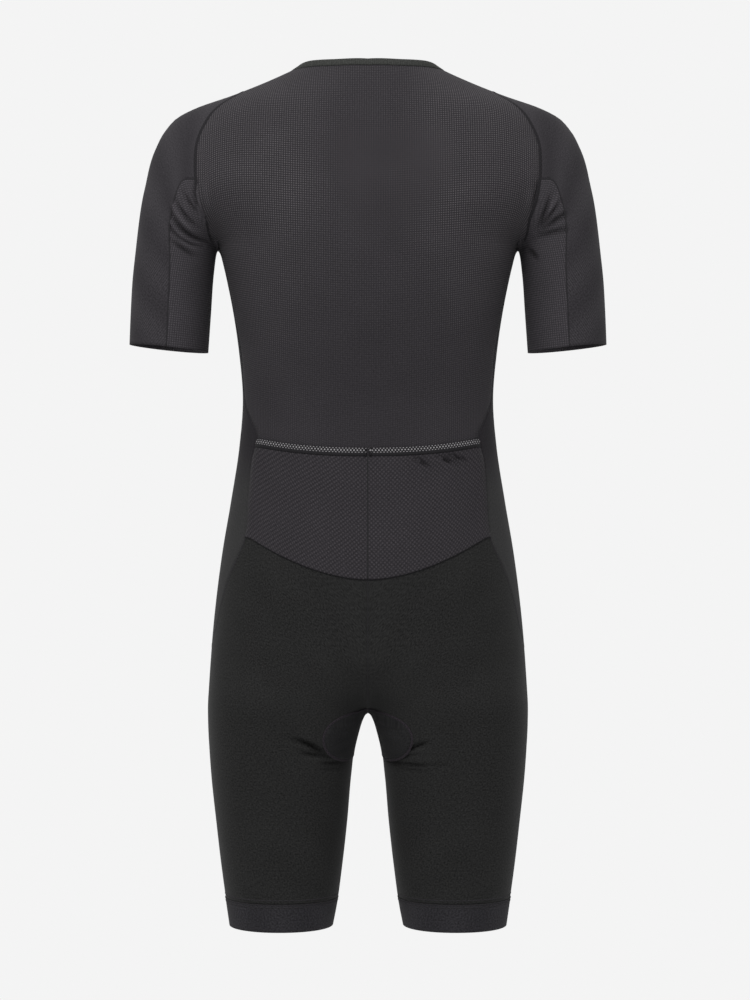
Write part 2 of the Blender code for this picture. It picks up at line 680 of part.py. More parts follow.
def tip_points(seams):
    """The blunt lower end of the side panel, back to front."""
    back, front = seams["side"]["back"]["wedge"][-1], seams["side"]["front"]["wedge"][-1]
    share = np.linspace(0, 1, len(seams["armhole"]["underarm"]))[:, None]
    line = settle(back * (1 - share) + front * share, 6, arms=False)
    line[0], line[-1] = back, front
    return line


def outward(starts, angle):
    """Points where level lines from the leg's axis leave the figure."""
    way = np.stack([np.cos(angle), np.sin(angle), np.zeros(angle.shape)], -1)
    reach = 0.3
    found = np.zeros(angle.shape, bool)
    edge = np.full(angle.shape, reach)
    steps = 150
    for step in range(1, steps + 1):
        distance = reach * step / steps
        outside = figure(starts + way * distance, arms=False) > 0
        edge = np.where(outside & ~found, distance, edge)
        found |= outside
    near, far = edge - reach / steps, edge
    for _ in range(24):
        middle = (near + far) / 2
        outside = figure(starts + way * middle[..., None], arms=False) > 0
        far = np.where(outside, middle, far)
        near = np.where(outside, near, middle)
    return starts + way * near[..., None]


def band_grid(hem):
    rows = 2
    levels = np.linspace(HEM_Z, HEM_Z + BAND_HEIGHT, rows + 1)
    angle = np.linspace(math.pi, -math.pi, len(hem))
    grid = []
    for level in levels:
        starts = np.stack([np.full(len(hem), LEG_AXIS_X), np.zeros(len(hem)), np.full(len(hem), level)], -1)
        grid.append(outward(starts, angle))
    grid = np.array(grid)
    grid[:, -1] = grid[:, 0]
    return grid


def neck_band_grid(rear, fore):
    """Narrow binding above the neck seam: it stands up behind, lies on the figure in front, opens at the zip."""
    half = np.concatenate([rear, fore[1:]])
    line = np.concatenate([mirrored(half[:0:-1]), half])
    facing = normals(line)
    along = unit(np.gradient(line, axis=0))
    up = np.cross(facing, along)
    up *= np.sign(up[:, 2:3])
    lying = settle(line + up * NECK_BAND_HEIGHT, 4)
    standing = line + unit(up * 0.3 + np.array([0, 0, 1.0])) * NECK_BAND_HEIGHT
    share = ease((line[:, 1:2] - NECK_STANDS_Y) / NECK_STANDS_BLEND)
    top = lying * (1 - share) + standing * share
    for end in (0, -1):
        top[end] = on_front([line[end][0]], [top[end][2]])[0]
    return np.array([line, top])


# ---------- the zip ----------
def zip_grid(top_z):
    z = np.linspace(FRONT_SEAM_CENTRE_Z + SEAM_GAP, top_z, ZIP_ROWS + 1)
    x = np.linspace(-ZIP_HALF, ZIP_HALF, 3)
    return on_front(*np.meshgrid(x, z))


def slider_frame():
    """Where the slider lies: on the chain's outside, its length along the zip, its face outwards."""
    point = on_front([0.0], [SLIDER_Z])[0]
    out = normals(point[None])[0]
    out[0] = 0
    out /= np.linalg.norm(out)
    up = np.cross(out, np.array([-1.0, 0, 0]))
    up *= np.sign(up[2])
    across = np.cross(up, out)
    origin = point + out * LAID_GAP
    frame = Matrix([[across[i], -out[i], up[i], origin[i]] for i in range(3)] + [[0, 0, 0, 1]])
    return frame


def box(name, size, centre):
    """A block as a mesh in the slider's own directions: across, into the body, up the zip."""
    shape = bmesh.new()
    bmesh.ops.create_cube(shape, size=1)
    bmesh.ops.scale(shape, vec=Vector(size), verts=shape.verts)
    bmesh.ops.translate(shape, vec=Vector(centre), verts=shape.verts)
    mesh = bpy.data.meshes.new(name)
    shape.to_mesh(mesh)
    shape.free()
    return mesh


def boolean(item, cutter, operation):
    change = item.modifiers.new(operation.lower(), "BOOLEAN")
    change.operation = operation
    change.object = cutter
    change.solver = "EXACT"


def guide(name, mesh, group, frame):
    item = bpy.data.objects.new(name, mesh)
    item.matrix_world = frame
    item.hide_render = True
    item.display_type = "WIRE"
    group.objects.link(item)
    return item


def zip_slider(frame, material, group, cutters):
    wide, deep, tall = SLIDER_SIZE
    slider = add_object("zip_slider", box("zip_slider", SLIDER_SIZE, (0, -deep / 2, 0)), material, group)
    slider.matrix_world = frame
    edge = slider.modifiers.new("edges", "BEVEL")
    edge.width = 0.0006
    edge.segments = 2
    bridge_out = BRIDGE["height"]
    outer = box("bridge", (BRIDGE["width"], bridge_out + 0.0004, 2 * BRIDGE["reach"]),
                (0, -deep - bridge_out / 2 + 0.0002, 0))
    bridge = guide("bridge", outer, cutters, frame)
    inner_out = bridge_out - BRIDGE["thick"]
    inner = box("bridge_gap", (BRIDGE["width"] * 2, inner_out, 2 * (BRIDGE["reach"] - BRIDGE["thick"])),
                (0, -deep - inner_out / 2, 0))
    gap = guide("bridge_gap", inner, cutters, frame)
    boolean(bridge, gap, "DIFFERENCE")
    boolean(slider, bridge, "UNION")
    return slider


def pull_axis():
    """How far out of the slider's underside the pull's bar lies."""
    gap = (BRIDGE["height"] - BRIDGE["thick"]) / 2
    return SLIDER_SIZE[1] + gap


def zip_pull(frame, material, group, cutters):
    axis = frame @ Matrix.Translation((0, -pull_axis(), 0))
    long = PULL["length"]
    half_bar = PULL["bar"] / 2
    body = box("zip_pull", (PULL["width"], PULL["thick"], long), (0, 0, half_bar - long / 2))
    pull = add_object("zip_pull", body, material, group)
    pull.matrix_world = axis
    eye_mid = -half_bar - PULL["eye_length"] / 2
    eye = guide("pull_eye", box("pull_eye", (PULL["eye_width"], 0.01, PULL["eye_length"]), (0, 0, eye_mid)),
                cutters, axis)
    boolean(pull, eye, "DIFFERENCE")
    edge = pull.modifiers.new("edges", "BEVEL")
    edge.width = 0.00025
    edge.segments = 1
    return pull


# ---------- the suit ----------
def all_seams():
    armhole = armhole_seams()
    side = side_seams(armhole)
    rear, fore = neck_lines()
    back_side, front_side = side["back"], side["front"]
    return dict(
        armhole=armhole,
        side=side,
        neck_back=rear,
        neck_front=fore,
        shoulder=shoulder_line(rear[-1], armhole["back_cap"][-1]),
        seat_seam=across_back(back_side["pocket"][-1], SEAT_SEAM_CENTRE_Z, 6, 1.8),
        tape_low=across_back(back_side["tape"][-1], POCKET_TOP_CENTRE_Z - TAPE_HEIGHT, 6, 2.4),
        tape_high=across_back(back_side["tape"][0], POCKET_TOP_CENTRE_Z, 6, 2.4),
        front_seam=across_front(front_side["pocket"][-1], FRONT_SEAM_CENTRE_Z, 7, ZIP_HALF + SEAM_GAP / 2),
    )


def upper_pieces(seams, looks, group):
    half_gap = SEAM_GAP / 2
    low, tape, high = back_grids(seams)
    whole = np.concatenate([low, high])
    cloth("back_panel", drawn_in(whole, half_gap), looks["mesh"], group)
    both_sides(("front_left", "front_right"), drawn_in(front_grid(seams), half_gap), looks["front"], group)
    both_sides(("side_left", "side_right"), drawn_in(side_grid(seams), half_gap), looks["side"], group)
    outer, inner = sleeve_grids(seams)
    both_sides(("sleeve_left", "sleeve_right"), drawn_in(outer, half_gap), looks["sleeve"], group)
    both_sides(("sleeve_under_left", "sleeve_under_right"), drawn_in(inner, half_gap), looks["under"], group)
    neck = neck_band_grid(seams["neck_back"], seams["neck_front"])
    cloth("neck_band", drawn_in(neck, half_gap), looks["binding"], group)
    return low, tape, neck


def pocket_pieces(low, tape, looks, group):
    """The pocket lies on the back panel's own points, moved out, with its edge tapes above it."""
    half_gap = SEAM_GAP / 2
    laid = dict(low=LAID_GAP, high=LAID_GAP + POCKET_WALL)
    cloth("pocket_panel", drawn_in(low, half_gap), looks["pocket"], group, **laid)
    laid["high"] = LAID_GAP + TAPE_WALL
    middle = tape.shape[1] // 2
    left = tape[:, middle:].copy()
    left[:, 0, 0] += TAPE_GAP
    both_sides(("pocket_tape_left", "pocket_tape_right"), drawn_in(left, half_gap), looks["tape"], group, **laid)


def lower_pieces(seams, looks, group):
    half_gap = SEAM_GAP / 2
    rear, fore = gusset_edge()
    leg_cloth, hem = leg_grid(seams, rear, fore)
    both_sides(("leg_left", "leg_right"), drawn_in(leg_cloth, half_gap), looks["shorts"], group)
    cloth("gusset", gusset_cut(gusset_grid(rear, fore)), looks["shorts"], group, weld=True)
    band = drawn_in(band_grid(hem), half_gap, sides=False)
    band[:, -1] = band[:, 0]
    both_sides(("band_left", "band_right"), band, looks["band"], group, low=-BAND_WALL, weld=True)


def zip_pieces(neck, looks, group, cutters):
    top_z = neck[1][0][2]
    chain = zip_grid(top_z)
    cloth("zip_chain", chain, looks["zip"], group, low=-ZIP_WALL)
    frame = slider_frame()
    zip_slider(frame, looks["metal"], group, cutters)
    zip_pull(frame, looks["metal"], group, cutters)


def main():
    clear_scene()
    group = collection("triathlon_suit")
    cutters = collection("cutters")
    looks = dict(
        mesh=finish("back_mesh", (0.040, 0.037, 0.042), 0.75),
        front=finish("front_knit", (0.038, 0.036, 0.040), 0.75),
        side=finish("side_knit", (0.018, 0.016, 0.019), 0.65),
        sleeve=finish("sleeve_twill", (0.047, 0.044, 0.049), 0.7),
        under=finish("under_sleeve_mesh", (0.040, 0.037, 0.042), 0.75),
        binding=finish("neck_binding", (0.045, 0.047, 0.045), 0.6),
        pocket=finish("pocket_mesh", (0.034, 0.031, 0.036), 0.75),
        tape=finish("pocket_tape", (0.045, 0.043, 0.047), 0.55),
        shorts=finish("shorts_knit", (0.020, 0.020, 0.020), 0.65),
        band=finish("leg_band", (0.030, 0.029, 0.032), 0.7),
        zip=finish("zip_chain", (0.020, 0.020, 0.021), 0.5),
        metal=finish("zip_metal", (0.060, 0.060, 0.065), 0.4, 0.8),
    )
    seams = all_seams()
    low, tape, neck = upper_pieces(seams, looks, group)
    pocket_pieces(low, tape, looks, group)
    lower_pieces(seams, looks, group)
    zip_pieces(neck, looks, group, cutters)


main()
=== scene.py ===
import math

import bmesh
import bpy
import numpy as np
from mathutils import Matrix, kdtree


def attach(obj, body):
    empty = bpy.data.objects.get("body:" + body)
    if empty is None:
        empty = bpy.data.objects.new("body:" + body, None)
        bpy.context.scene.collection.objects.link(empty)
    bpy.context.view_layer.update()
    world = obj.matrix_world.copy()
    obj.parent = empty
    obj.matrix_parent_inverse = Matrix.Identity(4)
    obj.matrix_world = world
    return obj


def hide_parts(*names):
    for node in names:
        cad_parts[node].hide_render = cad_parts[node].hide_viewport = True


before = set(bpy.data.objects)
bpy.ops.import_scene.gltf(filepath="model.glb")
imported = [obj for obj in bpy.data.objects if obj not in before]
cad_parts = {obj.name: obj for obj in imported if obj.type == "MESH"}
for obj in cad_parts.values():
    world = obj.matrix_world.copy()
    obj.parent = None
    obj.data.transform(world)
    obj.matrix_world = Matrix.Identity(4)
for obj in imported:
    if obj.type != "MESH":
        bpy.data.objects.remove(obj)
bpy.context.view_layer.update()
bpy.ops.object.select_all(action="DESELECT")
print("frame loaded:", len(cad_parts), "nodes")


def table(names, rows):
    # columns by name, rows sorted from the lowest z up
    columns = zip(*sorted(rows))
    return {name: np.array(column, float) for name, column in zip(names.split(), columns)}


# the worn form that all the cloth lies on: half widths and depths at each height, in metres
form = dict(armpitZ=-0.192, armpitBlend=0.075, armpitSoft=0.008, crotchZ=-0.682, seatBlend=0.060,
            crotchSoft=0.018, waistZ=-0.45, hemZ=-0.9138, bandHeight=0.030, legAxisX=0.088,
            seatTurnZ=-0.600, underX=0.1590, underZ=-0.235, shoulderSeamY=-0.016, capSplitZ=-0.1250)
cuff = dict(outerX=0.2556, outerZ=-0.2934, innerX=0.1710, innerZ=-0.3020, seamTurn=91.1)
fineStep = 8  # fine cells to each cell of the frame's own cloth
cells = dict(neckBack=4, neckFront=5, shoulder=2, backCap=5, frontCap=4, backUnder=3, frontUnder=3,
             underarm=2, side=7, tape=1, pocket=3, wedge=4, seat=4, inseam=6, sleeve=8, gusset=4,
             gussetHalf=2, seatSeam=6, frontSeam=7)

shoulders = table("z wide back front", [
    (0.0107, 0.0570, 0.0500, 0.0440),
    (0.0000, 0.0780, 0.0610, 0.0500),
    (-0.0128, 0.1058, 0.0700, 0.0540),
    (-0.0300, 0.1490, 0.0800, 0.0600),
    (-0.0428, 0.1860, 0.0860, 0.0640),
    (-0.0514, 0.2030, 0.0895, 0.0670),
    (-0.0642, 0.2156, 0.0940, 0.0710),
    (-0.0856, 0.2274, 0.1000, 0.0780),
    (-0.1280, 0.2388, 0.1070, 0.0920),
    (-0.1926, 0.2482, 0.1110, 0.1040),
    (-0.2247, 0.2520, 0.1105, 0.1060),
])
torso = table("z wide back front square", [
    (-0.1100, 0.1700, 0.1050, 0.0870, 2.3),
    (-0.1926, 0.1584, 0.1110, 0.1040, 2.3),
    (-0.2247, 0.1509, 0.1105, 0.1060, 2.3),
    (-0.2568, 0.1445, 0.1080, 0.1060, 2.3),
    (-0.3050, 0.1375, 0.1010, 0.1020, 2.25),
    (-0.3531, 0.1338, 0.0950, 0.0990, 2.2),
    (-0.4013, 0.1373, 0.0955, 0.0995, 2.2),
    (-0.4655, 0.1471, 0.1040, 0.1010, 2.25),
    (-0.5136, 0.1552, 0.1130, 0.1000, 2.35),
    (-0.5618, 0.1616, 0.1180, 0.0970, 2.4),
    (-0.6099, 0.1664, 0.1170, 0.0930, 2.4),
    (-0.6741, 0.1701, 0.1080, 0.0890, 2.4),
    (-0.7223, 0.1696, 0.1000, 0.0860, 2.4),
])
armRows = table("z centre half set depth", [
    (-0.1100, 0.1970, 0.0420, 0.003, 0.0530),
    (-0.1926, 0.2052, 0.0431, 0.000, 0.0530),
    (-0.2247, 0.2089, 0.0431, -0.003, 0.0525),
    (-0.2568, 0.2111, 0.0430, -0.006, 0.0520),
    (-0.3050, 0.2140, 0.0423, -0.010, 0.0510),
])
legRows = table("z inner outer set depth square", [
    (-0.6000, 0.0010, 0.1655, 0.012, 0.1050, 2.8),
    (-0.6500, 0.0012, 0.1690, 0.011, 0.1000, 2.7),
    (-0.6741, 0.0016, 0.1701, 0.0100, 0.0975, 2.6),
    (-0.6902, 0.0056, 0.1702, 0.0090, 0.0955, 2.55),
    (-0.7062, 0.0100, 0.1698, 0.0080, 0.0935, 2.5),
    (-0.7223, 0.0140, 0.1690, 0.0070, 0.0915, 2.45),
    (-0.7544, 0.0182, 0.1669, 0.0045, 0.0875, 2.35),
    (-0.8025, 0.0224, 0.1621, 0.0010, 0.0815, 2.2),
    (-0.8506, 0.0278, 0.1567, -0.0015, 0.0755, 2.15),
    (-0.8934, 0.0337, 0.1509, -0.0030, 0.0700, 2.1),
    (-0.9200, 0.0390, 0.1470, -0.0030, 0.0665, 2.1),
])

# seams: on the back and front by x and z, at the side by y and z
neckEdgeBack = table("z x", [(-0.0040, 0.0), (-0.0036, 0.038), (-0.0028, 0.064)])
neckEdgeFront = table("z x", [(-0.0130, 0.0805), (-0.0360, 0.0680), (-0.0600, 0.0480), (-0.0760, 0.0250),
                              (-0.0815, 0.0)])
armholeRows = table("z x", [(-0.0330, 0.1410), (-0.0440, 0.1560), (-0.0600, 0.1690), (-0.0830, 0.1790),
                            (-0.1130, 0.1810), (-0.1420, 0.1770), (-0.1650, 0.1700), (-0.1850, 0.1630)])
sideBack = table("z y", [(-0.1960, 0.014), (-0.2470, 0.014), (-0.3000, 0.027), (-0.3530, 0.023),
                         (-0.3750, 0.0425), (-0.3930, 0.055), (-0.4030, 0.055), (-0.4160, 0.0535),
                         (-0.4550, 0.0595), (-0.5040, 0.069), (-0.5460, 0.056), (-0.5760, 0.046),
                         (-0.6000, 0.034), (-0.6110, 0.020), (-0.6170, 0.005)])
sideFront = table("z y", [(-0.1960, -0.014), (-0.2470, -0.026), (-0.3000, -0.040), (-0.3530, -0.046),
                          (-0.4160, -0.048), (-0.4700, -0.045), (-0.5040, -0.040), (-0.5460, -0.030),
                          (-0.6000, -0.010), (-0.6170, -0.004)])
levels = dict(pocketTopSide=-0.3960, pocketTopCentre=-0.4060, tapeHeight=0.0085, seatSeamSide=-0.4985,
              seatSeamCentre=-0.5420, frontSeamCentre=-0.5250)
sleeveSeamGuides = table("z x", [(-0.1250, 0.1945), (-0.1420, 0.2030), (-0.1650, 0.2080), (-0.2100, 0.2085)])
# edge of the seat pad's oval on one leg by x and z, from near its back point down
# and round towards the inseam
padEdge = [(0.0090, -0.6822), (0.0205, -0.6842), (0.0320, -0.6888), (0.0410, -0.6958), (0.0455, -0.7042),
           (0.0455, -0.7140), (0.0415, -0.7230), (0.0345, -0.7292), (0.0265, -0.7325)]
padInseam = (0.0150, 0.012, -0.7315)


# the form as a distance field
def at(rows, name, z):
    knots, values = rows["z"], rows[name]
    z = np.clip(z, knots[0], knots[-1])
    slopes = np.gradient(values, knots)
    row = np.clip(np.searchsorted(knots, z) - 1, 0, len(knots) - 2)
    span = knots[row + 1] - knots[row]
    t = (z - knots[row]) / span
    low = (2 * t**3 - 3 * t**2 + 1) * values[row] + (t**3 - 2 * t**2 + t) * span * slopes[row]
    high = (3 * t**2 - 2 * t**3) * values[row + 1] + (t**3 - t**2) * span * slopes[row + 1]
    return low + high


def oval(across, deep, halfAcross, halfDeep, square):
    ratio = ((np.abs(across) / halfAcross)**square + (np.abs(deep) / halfDeep)**square)**(1 / square)
    reach = np.hypot(across, deep)
    return reach - reach / np.maximum(ratio, 1e-6)


def softMin(a, b, soft):
    share = np.clip(0.5 + 0.5 * (b - a) / soft, 0, 1)
    return b + (a - b) * share - soft * share * (1 - share)


def ease(t):
    t = np.clip(t, 0, 1)
    return t * t * (3 - 2 * t)


def trunkField(x, y, z, rows, square):
    deep = np.where(y > 0, at(rows, "back", z), at(rows, "front", z))
    return oval(x, y, at(rows, "wide", z), deep, square)


def armField(x, y, z):
    return oval(np.abs(x) - at(armRows, "centre", z), y - at(armRows, "set", z), at(armRows, "half", z),
                at(armRows, "depth", z), 2.0)


def legField(x, y, z):
    inner, outer = at(legRows, "inner", z), at(legRows, "outer", z)
    return oval(x - (inner + outer) / 2, y - at(legRows, "set", z), (outer - inner) / 2,
                at(legRows, "depth", z), at(legRows, "square", z))


def field(points, arms=True):
    # below 0 inside the worn form, above 0 outside it
    x, y, z = points[..., 0], points[..., 1], points[..., 2]
    body = trunkField(x, y, z, torso, at(torso, "square", z))
    parted = softMin(body, armField(x, y, z), form["armpitSoft"]) if arms else body
    apart = ease((form["armpitZ"] + form["armpitBlend"] - z) / form["armpitBlend"])
    upper = trunkField(x, y, z, shoulders, 2.0) * (1 - apart) + parted * apart
    legs = softMin(legField(x, y, z), legField(-x, y, z), form["crotchSoft"])
    apart = ease((form["crotchZ"] + form["seatBlend"] - z) / form["seatBlend"])
    lower = body * (1 - apart) + legs * apart
    return np.where(z > form["waistZ"], upper, lower)


def slope(points, arms=True):
    step = 0.0005
    gradient = np.zeros(points.shape)
    for axis in range(3):
        move = np.zeros(3)
        move[axis] = step
        gradient[..., axis] = (field(points + move, arms) - field(points - move, arms)) / (2 * step)
    return gradient


def normals(points):
    gradient = slope(points)
    return gradient / np.linalg.norm(gradient, axis=-1, keepdims=True)


def settle(points, rounds=6, arms=True):
    points = np.array(points, float)
    for _ in range(rounds):
        gradient = slope(points, arms)
        size = np.sum(gradient**2, axis=-1, keepdims=True)
        move = field(points, arms)[..., None] * gradient / np.maximum(size, 0.05)
        length = np.linalg.norm(move, axis=-1, keepdims=True)
        points = points - move * np.minimum(1, 0.02 / np.maximum(length, 1e-9))
    return points


def cast(starts, way, reach=0.4, arms=True, leaving=False):
    # first points where lines enter the form, or leave it; a line leaving a leg stops at the middle plane
    starts = np.array(starts, float)
    way = np.broadcast_to(np.array(way, float), starts.shape)

    def met(distance):
        spots = starts + way * distance[..., None]
        value = field(spots, arms)
        return (value > 0) | (spots[..., 0] < 0) if leaving else value < 0

    steps = 64
    travel = np.full(starts.shape[:-1], reach)
    found = np.zeros(starts.shape[:-1], bool)
    for step in range(1, steps + 1):
        distance = np.full(travel.shape, reach * step / steps)
        hit = met(distance)
        travel = np.where(hit & ~found, distance, travel)
        found |= hit
    near, far = travel - reach / steps, travel
    for _ in range(22):
        middle = (near + far) / 2
        hit = met(middle)
        far = np.where(hit, middle, far)
        near = np.where(hit, near, middle)
    return starts + way * far[..., None]


def onBack(x, z):
    x, z = np.broadcast_arrays(np.array(x, float), np.array(z, float))
    return cast(np.stack([x, np.full(x.shape, 0.2), z], -1), (0, -1, 0), 0.3)


def onFront(x, z):
    x, z = np.broadcast_arrays(np.array(x, float), np.array(z, float))
    return cast(np.stack([x, np.full(x.shape, -0.2), z], -1), (0, 1, 0), 0.3)


def onSide(y, z):
    y, z = np.broadcast_arrays(np.array(y, float), np.array(z, float))
    return cast(np.stack([np.full(y.shape, 0.25), y, z], -1), (-1, 0, 0), 0.25, arms=False)


def onLeg(angle, z):
    # where a level line from the leg's axis leaves the cloth; 0 is the outside of the leg, positive the back
    angle, z = np.broadcast_arrays(np.array(angle, float), np.array(z, float))
    starts = np.stack([np.full(angle.shape, form["legAxisX"]), np.zeros(angle.shape), z], -1)
    way = np.stack([np.cos(angle), np.sin(angle), np.zeros(angle.shape)], -1)
    return cast(starts, way, 0.2, arms=False, leaving=True)


# seam lines, as fine points that the pieces share
def smoothLine(guides, count):
    guides = np.array(guides, float)
    gaps = np.linalg.norm(np.diff(guides, axis=0), axis=1)
    knots = np.concatenate([[0], np.cumsum(gaps)])
    fine = np.linspace(0, knots[-1], 40 * len(guides))
    curve = np.stack([at({"z": knots, "v": guides[:, axis]}, "v", fine) for axis in range(3)], -1)
    lengths = np.concatenate([[0], np.cumsum(np.linalg.norm(np.diff(curve, axis=0), axis=1))])
    stops = np.linspace(0, lengths[-1], count + 1)
    return np.stack([np.interp(stops, lengths, curve[:, axis]) for axis in range(3)], -1)


def armholeSeams():
    back = onBack(armholeRows["x"], armholeRows["z"])
    front = onFront(armholeRows["x"], armholeRows["z"])[::-1]
    ridge = cast([[0.1345, y, 0.05] for y in (0.022, 0.000, -0.018)], (0, 0, -1), 0.2)
    under = cast([[form["underX"], y, form["underZ"]] for y in (0.014, 0.026)], (0, 0, 1), 0.1)
    underFront = cast([[form["underX"], y, form["underZ"]] for y in (-0.026, -0.014)], (0, 0, 1), 0.1)
    fine = settle(smoothLine(np.concatenate([under, back, ridge, front, underFront]), 240))
    cap = int(np.argmin(np.where(fine[:120, 1] > 0, np.abs(fine[:120, 2] - form["capSplitZ"]), 1)))
    shoulder = int(np.argmin(np.abs(fine[80:160, 1] - form["shoulderSeamY"]))) + 80
    capFront = 120 + int(np.argmin(np.where(fine[120:, 1] < 0, np.abs(fine[120:, 2] - form["capSplitZ"]), 1)))
    cuts = [0, cap, shoulder, capFront, 240]
    names = ["backUnder", "backCap", "frontCap", "frontUnder"]
    seams = {}
    for name, start, end in zip(names, cuts, cuts[1:]):
        seams[name] = settle(smoothLine(fine[start:end + 1], cells[name] * fineStep), 3)
    middle = cast([[form["underX"], 0.0, form["underZ"]]], (0, 0, 1), 0.1)[0]
    ends = seams["backUnder"][0], seams["frontUnder"][-1]
    seams["underarm"] = settle(smoothLine([ends[0], middle, ends[1]], cells["underarm"] * fineStep), 3)
    seams["underarm"][0], seams["underarm"][-1] = ends
    for before, after in zip(names, names[1:]):
        seams[after][0] = seams[before][-1]
    return seams


def sideSeams(armhole):
    lows = [levels["pocketTopSide"], levels["pocketTopSide"] - levels["tapeHeight"], levels["seatSeamSide"],
            sideBack["z"][0]]
    seams = {}
    for name, rows, top in (("back", sideBack, armhole["backUnder"][0]),
                            ("front", sideFront, armhole["frontUnder"][-1])):
        start = top[2] - 0.002
        parts = {}
        for stretch, low in zip(("side", "tape", "pocket", "wedge"), lows):
            z = np.linspace(start, low, cells[stretch] * fineStep + 1)
            parts[stretch] = settle(onSide(at(rows, "y", z), z), 3, arms=False)
            start = low
        parts["side"][0] = top
        seams[name] = parts
    return seams


def acrossLine(face, end, centreZ, count, inner=0.0, bow=2.0):
    share = np.linspace(0, 1, count * fineStep + 1)
    height = centreZ + (end[2] - centreZ) * share**bow
    line = face(inner + share[:-1] * (end[0] * 0.97 - inner), height[:-1])
    return np.concatenate([line, end[None]])


def neckLines():
    back = onBack(neckEdgeBack["x"], neckEdgeBack["z"])
    back = back[np.argsort(back[:, 0])]
    front = onFront(neckEdgeFront["x"], neckEdgeFront["z"])[::-1]
    ridge = cast([[0.0795, 0.020, 0.05], [0.0815, 0.0, 0.05]], (0, 0, -1), 0.2)
    fine = settle(smoothLine(np.concatenate([back, ridge, front]), 160))
    shoulder = 30 + int(np.argmin(np.abs(fine[30:120, 1] - form["shoulderSeamY"])))
    last = int(np.argmin(np.where(fine[:, 1] < -0.03, np.abs(fine[:, 0] - zipLook["half"]), 1)))
    rear = settle(smoothLine(fine[:shoulder + 1], cells["neckBack"] * fineStep), 3)
    fore = settle(smoothLine(fine[shoulder:last + 1], cells["neckFront"] * fineStep), 3)
    rear[0, 0] = 0
    fore[0] = rear[-1]
    fore[-1] = onFront([zipLook["half"]], [fore[-1][2]])[0]
    return rear, fore


def cuffRing(count, start, end):
    angle = np.radians(np.linspace(start, end, count * fineStep + 1))
    z = np.full(len(angle), (cuff["outerZ"] + cuff["innerZ"]) / 2)
    tilt = (cuff["outerZ"] - cuff["innerZ"]) / (cuff["outerX"] - cuff["innerX"])
    for _ in range(5):
        x = at(armRows, "centre", z) + np.cos(angle) * at(armRows, "half", z)
        z = cuff["innerZ"] + (x - cuff["innerX"]) * tilt
    y = at(armRows, "set", z) + np.sin(angle) * at(armRows, "depth", z)
    return np.stack([x, y, z], -1)


def sleeveSeam(start, end, face):
    order = np.argsort(-sleeveSeamGuides["z"])
    guides = [start] + list(face(sleeveSeamGuides["x"][order], sleeveSeamGuides["z"][order]))
    low = end + (guides[-1] - end) * 0.4
    guides += [settle(low[None])[0], end]
    line = settle(smoothLine(guides, cells["sleeve"] * fineStep))
    line[0], line[-1] = start, end
    return line


def centreArc(start, end, count):
    # round the seat on the middle plane, by turning a line about a point inside
    middle = np.array([0.0, form["seatTurnZ"]])
    turn = [math.atan2(-(point[2] - middle[1]), point[1]) for point in (start, end)]
    turn = [angle + 2 * math.pi if angle < -math.pi / 2 else angle for angle in turn]
    angle = np.linspace(turn[0], turn[1], count + 1)
    starts = np.stack([np.zeros(count + 1), np.zeros(count + 1), np.full(count + 1, middle[1])], -1)
    way = np.stack([np.zeros(count + 1), np.cos(angle), -np.sin(angle)], -1)
    return cast(starts, way, 0.2, arms=False, leaving=True)


# grids of points between seams
def patch(low, high, left, right, fade=1):
    u = np.linspace(0, 1, len(low))[None, :, None]
    v = np.linspace(0, 1, len(left))[:, None, None]
    ruled = (1 - v) * low[None] + v * high[None]
    return ruled + (1 - u)**fade * (left[:, None] - ruled[:, :1]) + u**fade * (right[:, None] - ruled[:, -1:])


def keepEdges(grid, low, high, left, right):
    grid[0], grid[-1], grid[:, 0], grid[:, -1] = low, high, left, right
    return grid


def spread(grid, rounds):
    grid[1:-1, 1:-1] = settle(grid[1:-1, 1:-1], 8)
    for _ in range(rounds):
        inner = (grid[:-2, 1:-1] + grid[2:, 1:-1] + grid[1:-1, :-2] + grid[1:-1, 2:]) / 4
        grid[1:-1, 1:-1] = grid[1:-1, 1:-1] * 0.4 + inner * 0.6
        grid[1:-1, 1:-1] = settle(grid[1:-1, 1:-1], 1)
    return grid


def through(values, count):
    # evenly spaced rows read again at more steps, on a smooth curve
    last = len(values) - 1
    stops = np.linspace(0, last, count + 1)
    row = np.minimum(stops.astype(int), last - 1)
    t = (stops - row).reshape(-1, *[1] * (values.ndim - 1))
    slopes = np.gradient(values, axis=0)
    low = (2 * t**3 - 3 * t**2 + 1) * values[row] + (t**3 - 2 * t**2 + t) * slopes[row]
    high = (3 * t**2 - 2 * t**3) * values[row + 1] + (t**3 - t**2) * slopes[row + 1]
    return low + high


def panel(low, high, left, right, rounds=30):
    # spread on the coarse cells first, then read finely and fitted to the fine seams
    rough = [edge[::fineStep] for edge in (low, high, left, right)]
    grid = spread(keepEdges(patch(*rough), *rough), rounds)
    grid = through(grid, len(left) - 1)
    grid = np.swapaxes(through(np.swapaxes(grid, 0, 1), len(low) - 1), 0, 1)
    grid = grid + patch(low - grid[0], high - grid[-1], left - grid[:, 0], right - grid[:, -1])
    return keepEdges(settle(grid, 4), low, high, left, right)


def mirrored(points):
    return points * np.array([-1.0, 1.0, 1.0])


def wholeLine(half):
    return np.concatenate([mirrored(half[:0:-1]), half])


def unit(vectors):
    return vectors / np.maximum(np.linalg.norm(vectors, axis=-1, keepdims=True), 1e-9)


